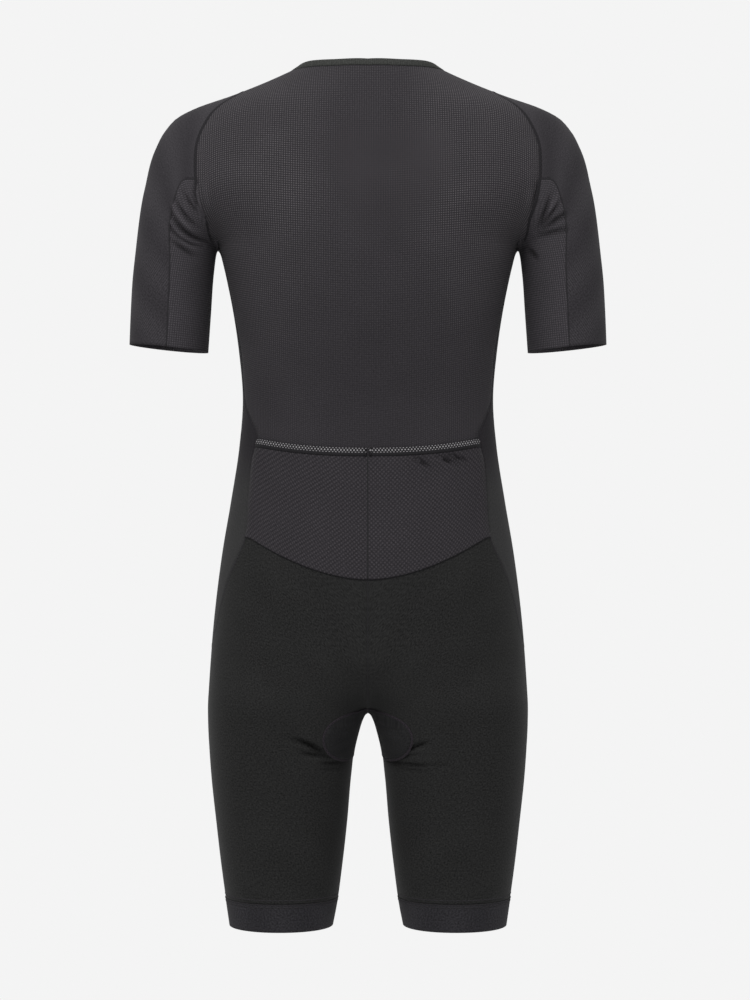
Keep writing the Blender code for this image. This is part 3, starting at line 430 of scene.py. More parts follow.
def measured(grid):
    # how far each point lies along its row from the middle column, and along its column, in metres
    across = np.linalg.norm(np.diff(grid, axis=1), axis=-1)
    across = np.concatenate([np.zeros((len(grid), 1)), np.cumsum(across, axis=1)], axis=1)
    across = across - across[:, across.shape[1] // 2][:, None]
    along = np.linalg.norm(np.diff(grid, axis=0), axis=-1)
    along = np.concatenate([np.zeros((1, grid.shape[1])), np.cumsum(along, axis=0)], axis=0)
    return np.stack([across, along], -1)


# creases: side, then start, middle and end by x and z, half width, and height (below 0 a trough); the height
# also sets painted shade in troughs and a painted highlight on ridges
backCreases = [
    # under the left arm, fanning down from the armhole
    (1, 0.208, -0.154, 0.192, -0.178, 0.164, -0.187, 0.0024, -0.0034),
    (1, 0.203, -0.143, 0.193, -0.160, 0.178, -0.174, 0.0020, -0.0026),
    (1, 0.194, -0.136, 0.186, -0.150, 0.178, -0.160, 0.0020, -0.0024),
    (1, 0.210, -0.166, 0.198, -0.184, 0.176, -0.192, 0.0024, -0.0032),
    (1, 0.208, -0.186, 0.194, -0.196, 0.180, -0.204, 0.0024, -0.0026),
    (1, 0.206, -0.149, 0.194, -0.168, 0.180, -0.179, 0.0020, 0.0020),
    (1, 0.211, -0.161, 0.196, -0.183, 0.172, -0.190, 0.0020, 0.0020),
    (1, 0.205, -0.178, 0.192, -0.190, 0.176, -0.198, 0.0020, 0.0016),
    # under the right arm
    (-1, 0.177, -0.176, 0.186, -0.158, 0.192, -0.139, 0.0026, -0.0030),
    (-1, 0.179, -0.177, 0.192, -0.160, 0.203, -0.145, 0.0026, -0.0028),
    (-1, 0.181, -0.179, 0.198, -0.166, 0.211, -0.158, 0.0028, -0.0030),
    (-1, 0.176, -0.184, 0.194, -0.179, 0.215, -0.174, 0.0030, -0.0026),
    (-1, 0.168, -0.192, 0.174, -0.200, 0.179, -0.207, 0.0028, -0.0026),
    (-1, 0.184, -0.168, 0.193, -0.154, 0.199, -0.142, 0.0024, 0.0016),
    # beside the armholes
    (1, 0.181, -0.126, 0.181, -0.142, 0.176, -0.158, 0.0020, -0.0026),
    (1, 0.176, -0.126, 0.178, -0.142, 0.170, -0.166, 0.0020, 0.0018),
    (1, 0.170, -0.126, 0.169, -0.142, 0.165, -0.158, 0.0026, 0.0014),
    (-1, 0.175, -0.124, 0.176, -0.140, 0.171, -0.156, 0.0024, -0.0021),
    (-1, 0.168, -0.132, 0.168, -0.146, 0.163, -0.160, 0.0026, 0.0012),
    # below the right end of the pocket's tape
    (-1, 0.048, -0.4165, 0.056, -0.4205, 0.066, -0.4265, 0.0022, -0.0030),
    (-1, 0.072, -0.4150, 0.082, -0.4190, 0.095, -0.4245, 0.0024, -0.0036),
    (-1, 0.082, -0.4125, 0.093, -0.4155, 0.105, -0.4200, 0.0022, -0.0028),
    (-1, 0.070, -0.4175, 0.080, -0.4215, 0.092, -0.4270, 0.0020, 0.0018),
    # from the seat pad out over the left thigh
    (1, 0.044, -0.7235, 0.060, -0.7150, 0.082, -0.7055, 0.0028, -0.0042),
    (1, 0.041, -0.7280, 0.053, -0.7200, 0.067, -0.7110, 0.0024, -0.0034),
    (1, 0.036, -0.7300, 0.053, -0.7260, 0.073, -0.7200, 0.0024, -0.0034),
    (1, 0.022, -0.7335, 0.036, -0.7345, 0.051, -0.7325, 0.0022, -0.0030),
    (1, 0.024, -0.7390, 0.037, -0.7410, 0.052, -0.7400, 0.0024, -0.0016),
    (1, 0.043, -0.7265, 0.058, -0.7195, 0.076, -0.7115, 0.0022, 0.0024),
    (1, 0.032, -0.7322, 0.048, -0.7300, 0.064, -0.7265, 0.0022, 0.0018),
    # and over the right thigh
    (-1, 0.040, -0.7225, 0.050, -0.7165, 0.064, -0.7110, 0.0026, -0.0036),
    (-1, 0.030, -0.7300, 0.040, -0.7262, 0.052, -0.7225, 0.0022, -0.0028),
    (-1, 0.018, -0.7300, 0.042, -0.7362, 0.084, -0.7345, 0.0024, -0.0036),
    (-1, 0.022, -0.7360, 0.046, -0.7412, 0.070, -0.7390, 0.0024, -0.0020),
    (-1, 0.036, -0.7275, 0.048, -0.7215, 0.060, -0.7170, 0.0022, 0.0020),
    (-1, 0.028, -0.7345, 0.050, -0.7387, 0.074, -0.7370, 0.0022, 0.0020),
]
padCreases = [
    (1, 0.020, -0.7060, 0.029, -0.7110, 0.038, -0.7125, 0.0026, -0.0009),
    (1, 0.022, -0.7190, 0.030, -0.7235, 0.038, -0.7240, 0.0024, -0.0008),
    (-1, 0.018, -0.7020, 0.028, -0.7060, 0.037, -0.7090, 0.0032, 0.0012),
]
frontCreases = [
    # in front of both arms, and where the thighs meet the body
    (1, 0.206, -0.150, 0.194, -0.172, 0.172, -0.184, 0.0044, -0.0026),
    (1, 0.210, -0.168, 0.196, -0.186, 0.176, -0.195, 0.0046, -0.0022),
    (1, 0.194, -0.136, 0.187, -0.150, 0.180, -0.160, 0.0034, -0.0018),
    (-1, 0.203, -0.146, 0.192, -0.168, 0.174, -0.180, 0.0042, -0.0024),
    (-1, 0.211, -0.172, 0.194, -0.188, 0.175, -0.193, 0.0046, -0.0022),
    (1, 0.168, -0.140, 0.150, -0.158, 0.138, -0.182, 0.0060, -0.0020),
    (-1, 0.166, -0.146, 0.150, -0.166, 0.140, -0.190, 0.0060, -0.0018),
    (1, 0.020, -0.7000, 0.046, -0.6860, 0.080, -0.6680, 0.0048, -0.0030),
    (1, 0.024, -0.7180, 0.050, -0.7080, 0.076, -0.7000, 0.0042, -0.0022),
    (1, 0.026, -0.7360, 0.042, -0.7350, 0.060, -0.7310, 0.0038, -0.0018),
    (-1, 0.020, -0.6960, 0.050, -0.6840, 0.088, -0.6650, 0.0048, -0.0028),
    (-1, 0.025, -0.7200, 0.046, -0.7120, 0.072, -0.7080, 0.0042, -0.0022),
    (1, 0.010, -0.3700, 0.040, -0.3760, 0.080, -0.3690, 0.0070, -0.0016),
    (-1, 0.010, -0.3820, 0.038, -0.3860, 0.072, -0.3800, 0.0070, -0.0014),
]


def creaseHeight(points, facing, rows, towards):
    # rows are given for a back or front view; towards is 1 for the back and -1 for the front
    height = np.zeros(points.shape[:-1])
    seen = ease(facing[..., 1] * towards * 4 + 0.4)
    for side, x0, z0, x1, z1, x2, z2, width, rise in rows:
        x, z = points[..., 0] * side, points[..., 2]
        near = (x > min(x0, x1, x2) - 0.02) & (x < max(x0, x1, x2) + 0.02)
        near &= (z > min(z0, z1, z2) - 0.02) & (z < max(z0, z1, z2) + 0.02)
        if not near.any():
            continue
        t = np.linspace(0, 1, 25)
        lineX = (1 - t)**2 * x0 + 2 * t * (1 - t) * (2 * x1 - (x0 + x2) / 2) + t**2 * x2
        lineZ = (1 - t)**2 * z0 + 2 * t * (1 - t) * (2 * z1 - (z0 + z2) / 2) + t**2 * z2
        away = np.hypot(x[near][:, None] - lineX, z[near][:, None] - lineZ)
        closest = away.argmin(axis=1)
        fading = np.sin(np.pi * np.clip(t[closest], 0.04, 0.96))**0.8
        height[near] += rise * fading * np.exp(-(away.min(axis=1) / width)**2)
    return height * seen


def creased(points, facing):
    return creaseHeight(points, facing, backCreases, 1) + creaseHeight(points, facing, frontCreases, -1)


# node groups
def addNode(tree, kind, **values):
    node = tree.nodes.new(kind)
    for name, value in values.items():
        setattr(node, name, value)
    return node


def feed(tree, target, source):
    if isinstance(source, bpy.types.NodeSocket):
        tree.links.new(source, target)
    else:
        target.default_value = source


def mathNode(tree, operation, first, second=0.0, third=None, clamp=False):
    node = addNode(tree, "ShaderNodeMath", operation=operation, use_clamp=clamp)
    feed(tree, node.inputs[0], first)
    feed(tree, node.inputs[1], second)
    if third is not None:
        feed(tree, node.inputs[2], third)
    return node.outputs[0]


def newGroup(name, inputs, outputs):
    tree = bpy.data.node_groups.new(name, "ShaderNodeTree")
    for label, kind, value in inputs:
        socket = tree.interface.new_socket(label, in_out="INPUT", socket_type="NodeSocket" + kind)
        if value is not None:
            socket.default_value = value
    for label, kind in outputs:
        tree.interface.new_socket(label, in_out="OUTPUT", socket_type="NodeSocket" + kind)
    start = tree.nodes.new("NodeGroupInput")
    end = tree.nodes.new("NodeGroupOutput")
    return tree, start.outputs, end.inputs


def weaveGroup():
    # a lattice of round dots, or ribs where one pitch is very long
    tree, given, result = newGroup("weave", [
        ("Place", "Vector", None), ("Pitch Across", "Float", 0.003), ("Pitch Along", "Float", 0.003),
        ("Sharpness", "Float", 1.0)], [("Mask", "Float")])
    parts = addNode(tree, "ShaderNodeSeparateXYZ")
    feed(tree, parts.inputs[0], given["Place"])
    waves = []
    for axis, pitch in ((0, "Pitch Across"), (1, "Pitch Along")):
        turns = mathNode(tree, "DIVIDE", parts.outputs[axis], given[pitch])
        wave = mathNode(tree, "COSINE", mathNode(tree, "MULTIPLY", turns, 2 * math.pi))
        waves.append(mathNode(tree, "MULTIPLY_ADD", wave, 0.5, 0.5))
    product = mathNode(tree, "MULTIPLY", waves[0], waves[1])
    feed(tree, result["Mask"], mathNode(tree, "POWER", product, given["Sharpness"]))
    return tree


def toneAndFoldShadeGroup():
    # dark ground with lighter yarn on it, worn unevenly at two scales, with painted shade in crease troughs
    # and a painted highlight on ridges from the fold input
    tree, given, result = newGroup("yarn tone and fold shade", [
        ("Place", "Vector", None), ("Ground", "Color", None), ("Yarn", "Color", None), ("Mask", "Float", 0.0),
        ("Strength", "Float", 1.0), ("Fleck", "Float", 0.3), ("Cloud", "Float", 0.1), ("Fold", "Float", 0.0)],
        [("Color", "Color"), ("Height", "Float")])
    fine = addNode(tree, "ShaderNodeTexNoise")
    fine.inputs["Scale"].default_value = 560
    fine.inputs["Detail"].default_value = 2
    broad = addNode(tree, "ShaderNodeTexNoise")
    broad.inputs["Scale"].default_value = 22
    broad.inputs["Detail"].default_value = 3
    for noise in (fine, broad):
        feed(tree, noise.inputs["Vector"], given["Place"])
    share = mathNode(tree, "MULTIPLY", given["Mask"], given["Strength"], clamp=True)
    mix = addNode(tree, "ShaderNodeMix", data_type="RGBA")
    feed(tree, mix.inputs[0], share)
    feed(tree, mix.inputs[6], given["Ground"])
    feed(tree, mix.inputs[7], given["Yarn"])
    fleck = mathNode(tree, "MULTIPLY", mathNode(tree, "SUBTRACT", fine.outputs[0], 0.5), given["Fleck"])
    cloud = mathNode(tree, "MULTIPLY", mathNode(tree, "SUBTRACT", broad.outputs[0], 0.5), given["Cloud"])
    level = mathNode(tree, "ADD", mathNode(tree, "MULTIPLY_ADD", fleck, 2.0, 1.0),
                     mathNode(tree, "MULTIPLY", cloud, 2.0))
    # painted shade and painted highlight: the fold value darkens the colour in crease troughs and lightens it
    # on ridges
    level = mathNode(tree, "MAXIMUM", mathNode(tree, "MULTIPLY_ADD", given["Fold"], 0.6, level), 0.2)
    scaled = addNode(tree, "ShaderNodeVectorMath", operation="SCALE")
    feed(tree, scaled.inputs[0], mix.outputs[2])
    feed(tree, scaled.inputs["Scale"], level)
    feed(tree, result["Color"], scaled.outputs[0])
    feed(tree, result["Height"], mathNode(tree, "MULTIPLY_ADD", fine.outputs[0], 0.35, share))
    return tree


def stitchGroup():
    # rows of covering thread: a zigzag between two edge lines
    tree, given, result = newGroup("cover stitch", [
        ("Place", "Vector", None), ("Half Width", "Float", 0.0015), ("Stitch", "Float", 0.0022)],
        [("Mask", "Float")])
    parts = addNode(tree, "ShaderNodeSeparateXYZ")
    feed(tree, parts.inputs[0], given["Place"])
    across = mathNode(tree, "DIVIDE", parts.outputs[0], given["Half Width"])
    swing = mathNode(tree, "PINGPONG", mathNode(tree, "DIVIDE", parts.outputs[1], given["Stitch"]), 1.0)
    swing = mathNode(tree, "MULTIPLY_ADD", swing, 1.4, -0.7)
    away = mathNode(tree, "ABSOLUTE", mathNode(tree, "SUBTRACT", across, swing))
    thread = mathNode(tree, "SUBTRACT", 1.0, mathNode(tree, "MULTIPLY", away, 2.6), clamp=True)
    edge = mathNode(tree, "ABSOLUTE", mathNode(tree, "SUBTRACT", mathNode(tree, "ABSOLUTE", across), 0.78))
    edge = mathNode(tree, "SUBTRACT", 1.0, mathNode(tree, "MULTIPLY", edge, 5.0), clamp=True)
    feed(tree, result["Mask"], mathNode(tree, "MAXIMUM", thread, edge))
    return tree


weave = weaveGroup()
yarnToneAndFoldShade = toneAndFoldShadeGroup()
coverStitch = stitchGroup()
print("node groups ready")


# materials
light = dict(level=0.79, white=0.905, soft=0.55)  # level: how bright a white cloth shows


def tone(red, green, blue):
    # a shown colour as the cloth's own
    linear = [((c / 255 + 0.055) / 1.055)**2.4 if c > 10 else c / 255 / 12.92 for c in (red, green, blue)]
    return (*[min(1.0, c / light["level"]) for c in linear], 1.0)


def placeNodes(tree, lean=0.0):
    # the cloth's own coordinates in metres, turned by lean degrees
    coordinates = addNode(tree, "ShaderNodeUVMap", uv_map="cloth")
    mapping = addNode(tree, "ShaderNodeMapping")
    mapping.inputs["Rotation"].default_value = (0, 0, math.radians(lean))
    feed(tree, mapping.inputs["Vector"], coordinates.outputs[0])
    return mapping.outputs[0]


def groupNode(tree, group, **values):
    node = addNode(tree, "ShaderNodeGroup", node_tree=group)
    for label, value in values.items():
        feed(tree, node.inputs[label.replace("_", " ")], value)
    return node


def newMaterial(name, roughness, sheen, sheenRoughness=0.45, specular=0.08):
    material = bpy.data.materials.new(name)
    material.use_nodes = True
    shader = material.node_tree.nodes["Principled BSDF"]
    shader.inputs["Roughness"].default_value = roughness
    shader.inputs["Sheen Weight"].default_value = sheen
    shader.inputs["Sheen Roughness"].default_value = sheenRoughness
    shader.inputs["Specular IOR Level"].default_value = specular
    return material, material.node_tree, shader


def addBump(tree, shader, height, strength, distance):
    bump = addNode(tree, "ShaderNodeBump")
    bump.inputs["Strength"].default_value = strength
    bump.inputs["Distance"].default_value = distance
    feed(tree, bump.inputs["Height"], height)
    feed(tree, shader.inputs["Normal"], bump.outputs[0])


def clothMaterial(name, look):
    material, tree, shader = newMaterial(name, look["roughness"], look["sheen"],
                                         look.get("sheenRoughness", 0.45))
    place = placeNodes(tree, look.get("lean", 0))
    mask = groupNode(tree, weave, Place=place, Pitch_Across=look["pitch"][0], Pitch_Along=look["pitch"][1],
                     Sharpness=look.get("sharp", 1.0)).outputs["Mask"]
    strength = look.get("strength", 1.0)
    # painted sheen: a look with a fade sets the dots' strength by place
    if "fade" in look:
        strength = dotSheenNodes(tree, look["fade"])
    ground = lowerTone(tree, look) if "low" in look else tone(*look["ground"])
    # the fold attribute feeds painted shade into crease troughs and a painted highlight onto ridges
    colour = groupNode(tree, yarnToneAndFoldShade, Place=place, Ground=ground, Yarn=tone(*look["yarn"]),
                       Mask=mask, Strength=strength, Fleck=look.get("fleck", 0.3),
                       Cloud=look.get("cloud", 0.12),
                       Fold=addNode(tree, "ShaderNodeAttribute", attribute_name="foldShade").outputs["Fac"])
    feed(tree, shader.inputs["Base Color"], colour.outputs["Color"])
    addBump(tree, shader, colour.outputs["Height"], look.get("bump", 0.4), 0.0002)
    return material


def lowerTone(tree, look):
    # the panel's colour turns lighter below the blend heights, over the hip, and stays darker above
    coordinates = addNode(tree, "ShaderNodeTexCoord")
    parts = addNode(tree, "ShaderNodeSeparateXYZ")
    feed(tree, parts.inputs[0], coordinates.outputs["Object"])
    share = addNode(tree, "ShaderNodeMapRange", interpolation_type="SMOOTHSTEP")
    feed(tree, share.inputs[0], parts.outputs[2])
    share.inputs[1].default_value, share.inputs[2].default_value = look["blend"]
    mix = addNode(tree, "ShaderNodeMix", data_type="RGBA")
    feed(tree, mix.inputs[0], share.outputs[0])
    feed(tree, mix.inputs[6], tone(*look["low"]))
    feed(tree, mix.inputs[7], tone(*look["ground"]))
    return mix.outputs[2]


def dotSheenNodes(tree, fade):
    # painted sheen: the lattice of dots is the open mesh's own pattern, but its strength by place is painted
    # sheen, most at the sides of the upper back and less further down, where side light catches the dots
    coordinates = addNode(tree, "ShaderNodeTexCoord")
    parts = addNode(tree, "ShaderNodeSeparateXYZ")
    feed(tree, parts.inputs[0], coordinates.outputs["Object"])
    sideways = mathNode(tree, "ABSOLUTE", parts.outputs[0])
    shares = []
    for source, (start, end, low, high) in ((sideways, fade["side"]), (parts.outputs[2], fade["height"])):
        spread = addNode(tree, "ShaderNodeMapRange", interpolation_type="SMOOTHSTEP")
        feed(tree, spread.inputs[0], source)
        for index, value in zip((1, 2, 3, 4), (start, end, low, high)):
            spread.inputs[index].default_value = value
        shares.append(spread.outputs[0])
    noise = addNode(tree, "ShaderNodeTexNoise")
    noise.inputs["Scale"].default_value = 9
    feed(tree, noise.inputs["Vector"], coordinates.outputs["Object"])
    patchy = mathNode(tree, "MULTIPLY_ADD", noise.outputs[0], 1.1, 0.35)
    return mathNode(tree, "MULTIPLY", mathNode(tree, "MULTIPLY", shares[0], shares[1]), patchy)


looks = dict(
    # backMesh: the dot lattice is the mesh's own pattern; the dots' light colour is partly painted sheen, and
    # their fade by side and height is painted sheen
    backMesh=dict(ground=(44, 42, 45), yarn=(98, 95, 97), pitch=(0.00248, 0.00236), sharp=1.5, roughness=0.85,
                  sheen=0.03, bump=0.5, fleck=0.5,
                  fade=dict(side=(0.02, 0.10, 0.50, 1.0), height=(-0.34, -0.10, 0.34, 0.95))),
    frontKnit=dict(ground=(46, 44, 47), yarn=(62, 60, 63), pitch=(0.0016, 0.0016), lean=45, roughness=0.85,
                   sheen=0.03, strength=0.7, fleck=0.8),
    sideKnit=dict(ground=(34, 32, 35), yarn=(41, 39, 42), pitch=(0.0012, 0.0012), lean=45, roughness=0.75,
                  sheen=0.03, strength=0.6, fleck=0.6, low=(49, 49, 49), blend=(-0.46, -0.40)),
    sleeveTwill=dict(ground=(48, 46, 49), yarn=(62, 60, 63), pitch=(0.0023, 0.05), lean=-38, roughness=0.8,
                     sheen=0.04, strength=0.8, fleck=0.8),
    underMesh=dict(ground=(50, 48, 51), yarn=(84, 81, 85), pitch=(0.00248, 0.00236), sharp=1.2,
                   roughness=0.85, sheen=0.03, strength=0.8, fleck=0.5),
    neckBinding=dict(ground=(51, 52, 50), yarn=(60, 61, 59), pitch=(0.0020, 0.05), roughness=0.7, sheen=0.04,
                     fleck=0.7),
    pocketMesh=dict(ground=(41, 39, 42), yarn=(64, 61, 64), pitch=(0.0030, 0.0034), lean=42, sharp=0.9,
                    roughness=0.85, sheen=0.03, strength=0.85, fleck=0.7),
    shortsKnit=dict(ground=(33, 33, 33), yarn=(39, 39, 38), pitch=(0.0011, 0.0014), lean=0, roughness=0.75,
                    sheen=0.06, strength=0.6, fleck=1.3, cloud=0.2),
    legBand=dict(ground=(40, 39, 42), yarn=(50, 49, 52), pitch=(0.0014, 0.05), lean=90, roughness=0.8,
                 sheen=0.04, strength=0.7, fleck=1.1),
    padKnit=dict(ground=(32, 32, 33), yarn=(40, 39, 40), pitch=(0.0011, 0.0014), lean=45, roughness=0.8,
                 sheen=0.04, strength=0.6, fleck=0.9),
)
materials = {name: clothMaterial(name, look) for name, look in looks.items()}


def stitchMaterial(name, look):
    material, tree, shader = newMaterial(name, 0.7, 0.03)
    place = placeNodes(tree)
    mask = groupNode(tree, coverStitch, Place=place,
                     Half_Width=look["half"], Stitch=look["stitch"]).outputs["Mask"]
    colour = groupNode(tree, yarnToneAndFoldShade, Place=place, Ground=tone(*look["ground"]), Yarn=tone(*look["yarn"]),
                       Mask=mask, Strength=1.0, Fleck=0.1, Cloud=0.05)
    feed(tree, shader.inputs["Base Color"], colour.outputs["Color"])
    addBump(tree, shader, colour.outputs["Height"], 0.8, 0.0003)
    return material


stitches = dict(
    raglan=dict(half=0.0021, rise=0.0004, stitch=0.0022, ground=(33, 32, 34), yarn=(43, 41, 44)),
    side=dict(half=0.0010, rise=0.0002, stitch=0.0020, ground=(34, 33, 35), yarn=(43, 41, 44)),
    sleeve=dict(half=0.0009, rise=0.0002, stitch=0.0020, ground=(40, 39, 41), yarn=(50, 48, 51)),
    seat=dict(half=0.0012, rise=0.0004, stitch=0.0020, ground=(24, 24, 25), yarn=(34, 33, 35)),
    centre=dict(half=0.0008, rise=0.0002, stitch=0.0020, ground=(33, 33, 34), yarn=(46, 45, 47)),
    pad=dict(half=0.0016, rise=0.0005, stitch=0.0024, ground=(35, 32, 36), yarn=(52, 47, 52)),
    hem=dict(half=0.0007, rise=0.0003, stitch=0.0030, ground=(32, 31, 33), yarn=(62, 60, 63)),
    inseam=dict(half=0.0010, rise=0.0003, stitch=0.0020, ground=(28, 28, 29), yarn=(36, 35, 37)),
)
for name, look in stitches.items():
    materials[name + "Stitch"] = stitchMaterial(name + "Stitch", look)


def tapeMaterial():
    # dark binding with two rows of bright reflecting dots
    look = tapeLook
    material, tree, shader = newMaterial("tapeBinding", 0.6, 0.02)
    place = placeNodes(tree)
    parts = addNode(tree, "ShaderNodeSeparateXYZ")
    feed(tree, parts.inputs[0], place)
    half = look["dotPitch"] / 2
    row = mathNode(tree, "FLOOR", mathNode(tree, "DIVIDE", parts.outputs[1], look["rowPitch"]))
    shift = mathNode(tree, "MULTIPLY", mathNode(tree, "MODULO", row, 2.0), half)
    along = mathNode(tree, "ADD", parts.outputs[0], shift)
    along = mathNode(tree, "MODULO", mathNode(tree, "ADD", along, 1.0), look["dotPitch"])
    along = mathNode(tree, "SUBTRACT", along, half)
    across = mathNode(tree, "SUBTRACT", mathNode(tree, "MODULO", parts.outputs[1], look["rowPitch"]),
                      look["rowPitch"] / 2)
    away = mathNode(tree, "SQRT", mathNode(tree, "ADD", mathNode(tree, "MULTIPLY", along, along),
                                           mathNode(tree, "MULTIPLY", across, across)))
    dot = mathNode(tree, "LESS_THAN", away, look["dotRadius"])
    high = mathNode(tree, "GREATER_THAN", parts.outputs[1], look["dotsAbove"])
    below = mathNode(tree, "LESS_THAN", parts.outputs[1], look["dotsBelow"])
    dot = mathNode(tree, "MULTIPLY", dot, mathNode(tree, "MULTIPLY", high, below))
    colour = groupNode(tree, yarnToneAndFoldShade, Place=place, Ground=tone(*look["ground"]), Yarn=tone(*look["dots"]),
                       Mask=dot, Strength=1.0, Fleck=0.35, Cloud=0.2)
    feed(tree, shader.inputs["Base Color"], colour.outputs["Color"])
    addBump(tree, shader, colour.outputs["Height"], 0.5, 0.0003)
    return material


# making the cloth
foldShadeDepth = 0.003  # painted shade: a crease this deep gets the darkest painted shade in its trough, and a ridge this high gets the brightest painted highlight


def outwardFaces(grid, facing):
    rows, columns = grid.shape[:2]
    spot = np.arange(rows * columns).reshape(rows, columns)
    faces = np.stack([spot[:-1, :-1], spot[:-1, 1:], spot[1:, 1:], spot[1:, :-1]], -1)
    middle = rows // 2, columns // 2
    a, b, c = grid[middle], grid[middle[0], middle[1] - 1], grid[middle[0] - 1, middle[1]]
    if np.dot(np.cross(b - a, c - a), facing[middle]) < 0:
        faces = faces[..., ::-1]
    return faces.reshape(-1, 4)


def clothObject(name, grid, material, wall, lift=0.0, place=None, facing=None, weld=False, crease=creased):
    # one thin shell: its outer face lies lift above the form, with creases, and the wall goes inwards
    if facing is None:
        facing = normals(grid)
    if place is None:
        place = measured(grid)
    height = lift + (crease(grid, facing) if crease else 0.0)
    points = grid + facing * (height[..., None] if isinstance(height, np.ndarray) else height)
    faces = outwardFaces(grid, facing)
    mesh = bpy.data.meshes.new(name)
    mesh.from_pydata(points.reshape(-1, 3).tolist(), [], faces.tolist())
    layer = mesh.uv_layers.new(name="cloth")
    layer.data.foreach_set("uv", place.reshape(-1, 2)[faces.ravel()].astype(np.float32).ravel())
    # painted shade and painted highlight: the crease height is stored per point as fold, which darkens the
    # colour in troughs and lightens it on ridges
    if crease:
        foldShade = mesh.attributes.new("foldShade", "FLOAT", "POINT")
        foldShade.data.foreach_set("value", np.clip((height - lift) / foldShadeDepth, -1, 1).astype(np.float32).ravel())
    if weld:
        shape = bmesh.new()
        shape.from_mesh(mesh)
        bmesh.ops.remove_doubles(shape, verts=shape.verts, dist=1e-6)
        shape.to_mesh(mesh)
        shape.free()
    mesh.materials.append(material)
    mesh.shade_smooth()
    piece = bpy.data.objects.new(name, mesh)
    bpy.context.scene.collection.objects.link(piece)
    solid = piece.modifiers.new("wall", "SOLIDIFY")
    solid.thickness = wall
    solid.offset = -1
    return piece


def dress(piece, nodes=(), body="garment"):
    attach(piece, body)
    if nodes:
        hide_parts(*nodes)
    return piece


def seamStrip(name, path, look, material, lift=0.0):
    # a low rounded strip of stitching along a line on the form
    facing = normals(path)
    along = unit(np.gradient(path, axis=0))
    sideways = unit(np.cross(facing, along))
    across = np.array([-1.0, -0.72, -0.36, 0.0, 0.36, 0.72, 1.0])
    rise = np.array([-0.45, 0.45, 0.92, 1.0, 0.92, 0.45, -0.45]) * look["rise"]
    points = path[:, None] + sideways[:, None] * (across * look["half"])[None, :, None]
    points = points + facing[:, None] * (rise + lift)[None, :, None]
    length = np.concatenate([[0], np.cumsum(np.linalg.norm(np.diff(path, axis=0), axis=1))])
    place = np.stack(np.broadcast_arrays((across * look["half"])[None], length[:, None]), -1)
    out = np.broadcast_to(facing[:, None], points.shape)
    piece = clothObject(name, points, material, 0.0005, place=place, facing=out, crease=None)
    return dress(piece)


zipLook = dict(half=0.00385, tapeHalf=0.0037, tooth=(0.0030, 0.0011, 0.0007), pitch=0.0013, wall=0.0006,
               flat=(0.0100, 0.45), area=0.0034)
tapeLook = dict(dotPitch=0.0034, rowPitch=0.0024, dotRadius=0.00085, dotsAbove=0.0036, dotsBelow=0.0084,
                ground=(33, 32, 34), dots=(135, 133, 135), gap=0.0035, lift=0.0018, wall=0.0013)
materials["tape"] = tapeMaterial()

armhole = armholeSeams()
side = sideSeams(armhole)
neckRear, neckFore = neckLines()
shoulderMiddle = (neckRear[-1] + armhole["backCap"][-1]) / 2
shoulder = settle(smoothLine([neckRear[-1], shoulderMiddle, armhole["backCap"][-1]],
                             cells["shoulder"] * fineStep))
shoulder[0], shoulder[-1] = neckRear[-1], armhole["backCap"][-1]
seatSeam = acrossLine(onBack, side["back"]["pocket"][-1], levels["seatSeamCentre"],
                      cells["seatSeam"], bow=1.8)
tapeLow = acrossLine(onBack, side["back"]["tape"][-1], levels["pocketTopCentre"] - levels["tapeHeight"],
                     cells["seatSeam"], bow=2.4)
tapeHigh = acrossLine(onBack, side["back"]["tape"][0], levels["pocketTopCentre"], cells["seatSeam"], bow=2.4)
frontSeam = acrossLine(onFront, side["front"]["pocket"][-1], levels["frontSeamCentre"], cells["frontSeam"],
                       inner=zipLook["half"])
print("seams laid")


# back
backLook = dict(wall=0.0009, flat=(0.42, 0.58), area=0.184)


def makeBack():
    low, tapeLine = wholeLine(tapeLow), wholeLine(tapeHigh)
    top = wholeLine(np.concatenate([neckRear, shoulder[1:]]))
    lowEdge = side["back"]["pocket"][::-1]
    lowPart = panel(wholeLine(seatSeam), low, mirrored(lowEdge), lowEdge)
    armEdge = np.concatenate([armhole["backUnder"], armhole["backCap"][1:]])
    highEdge = np.concatenate([side["back"]["side"][::-1], armEdge[1:]])
    highPart = panel(tapeLine, top, mirrored(highEdge), highEdge, 60)
    share = np.linspace(0, 1, 5)[:, None, None]
    tapePart = low[None] * (1 - share) + tapeLine[None] * share
    tapePart = np.concatenate([lowPart[-1:], settle(tapePart[1:-1], 3), highPart[:1]])
    grid = np.concatenate([lowPart[::2][:-1], tapePart, highPart[1:]])
    piece = clothObject("backCloth", grid, materials["backMesh"], backLook["wall"])
    dress(piece, ["back_panel"])
    return lowPart, tapePart


lowPart, tapePart = makeBack()
print("back made")


# pocket and its tape
pocketLook = dict(wall=0.0009, lift=0.0013, flat=(0.29, 0.14), area=0.0357, tapeFlat=(0.125, 0.011))


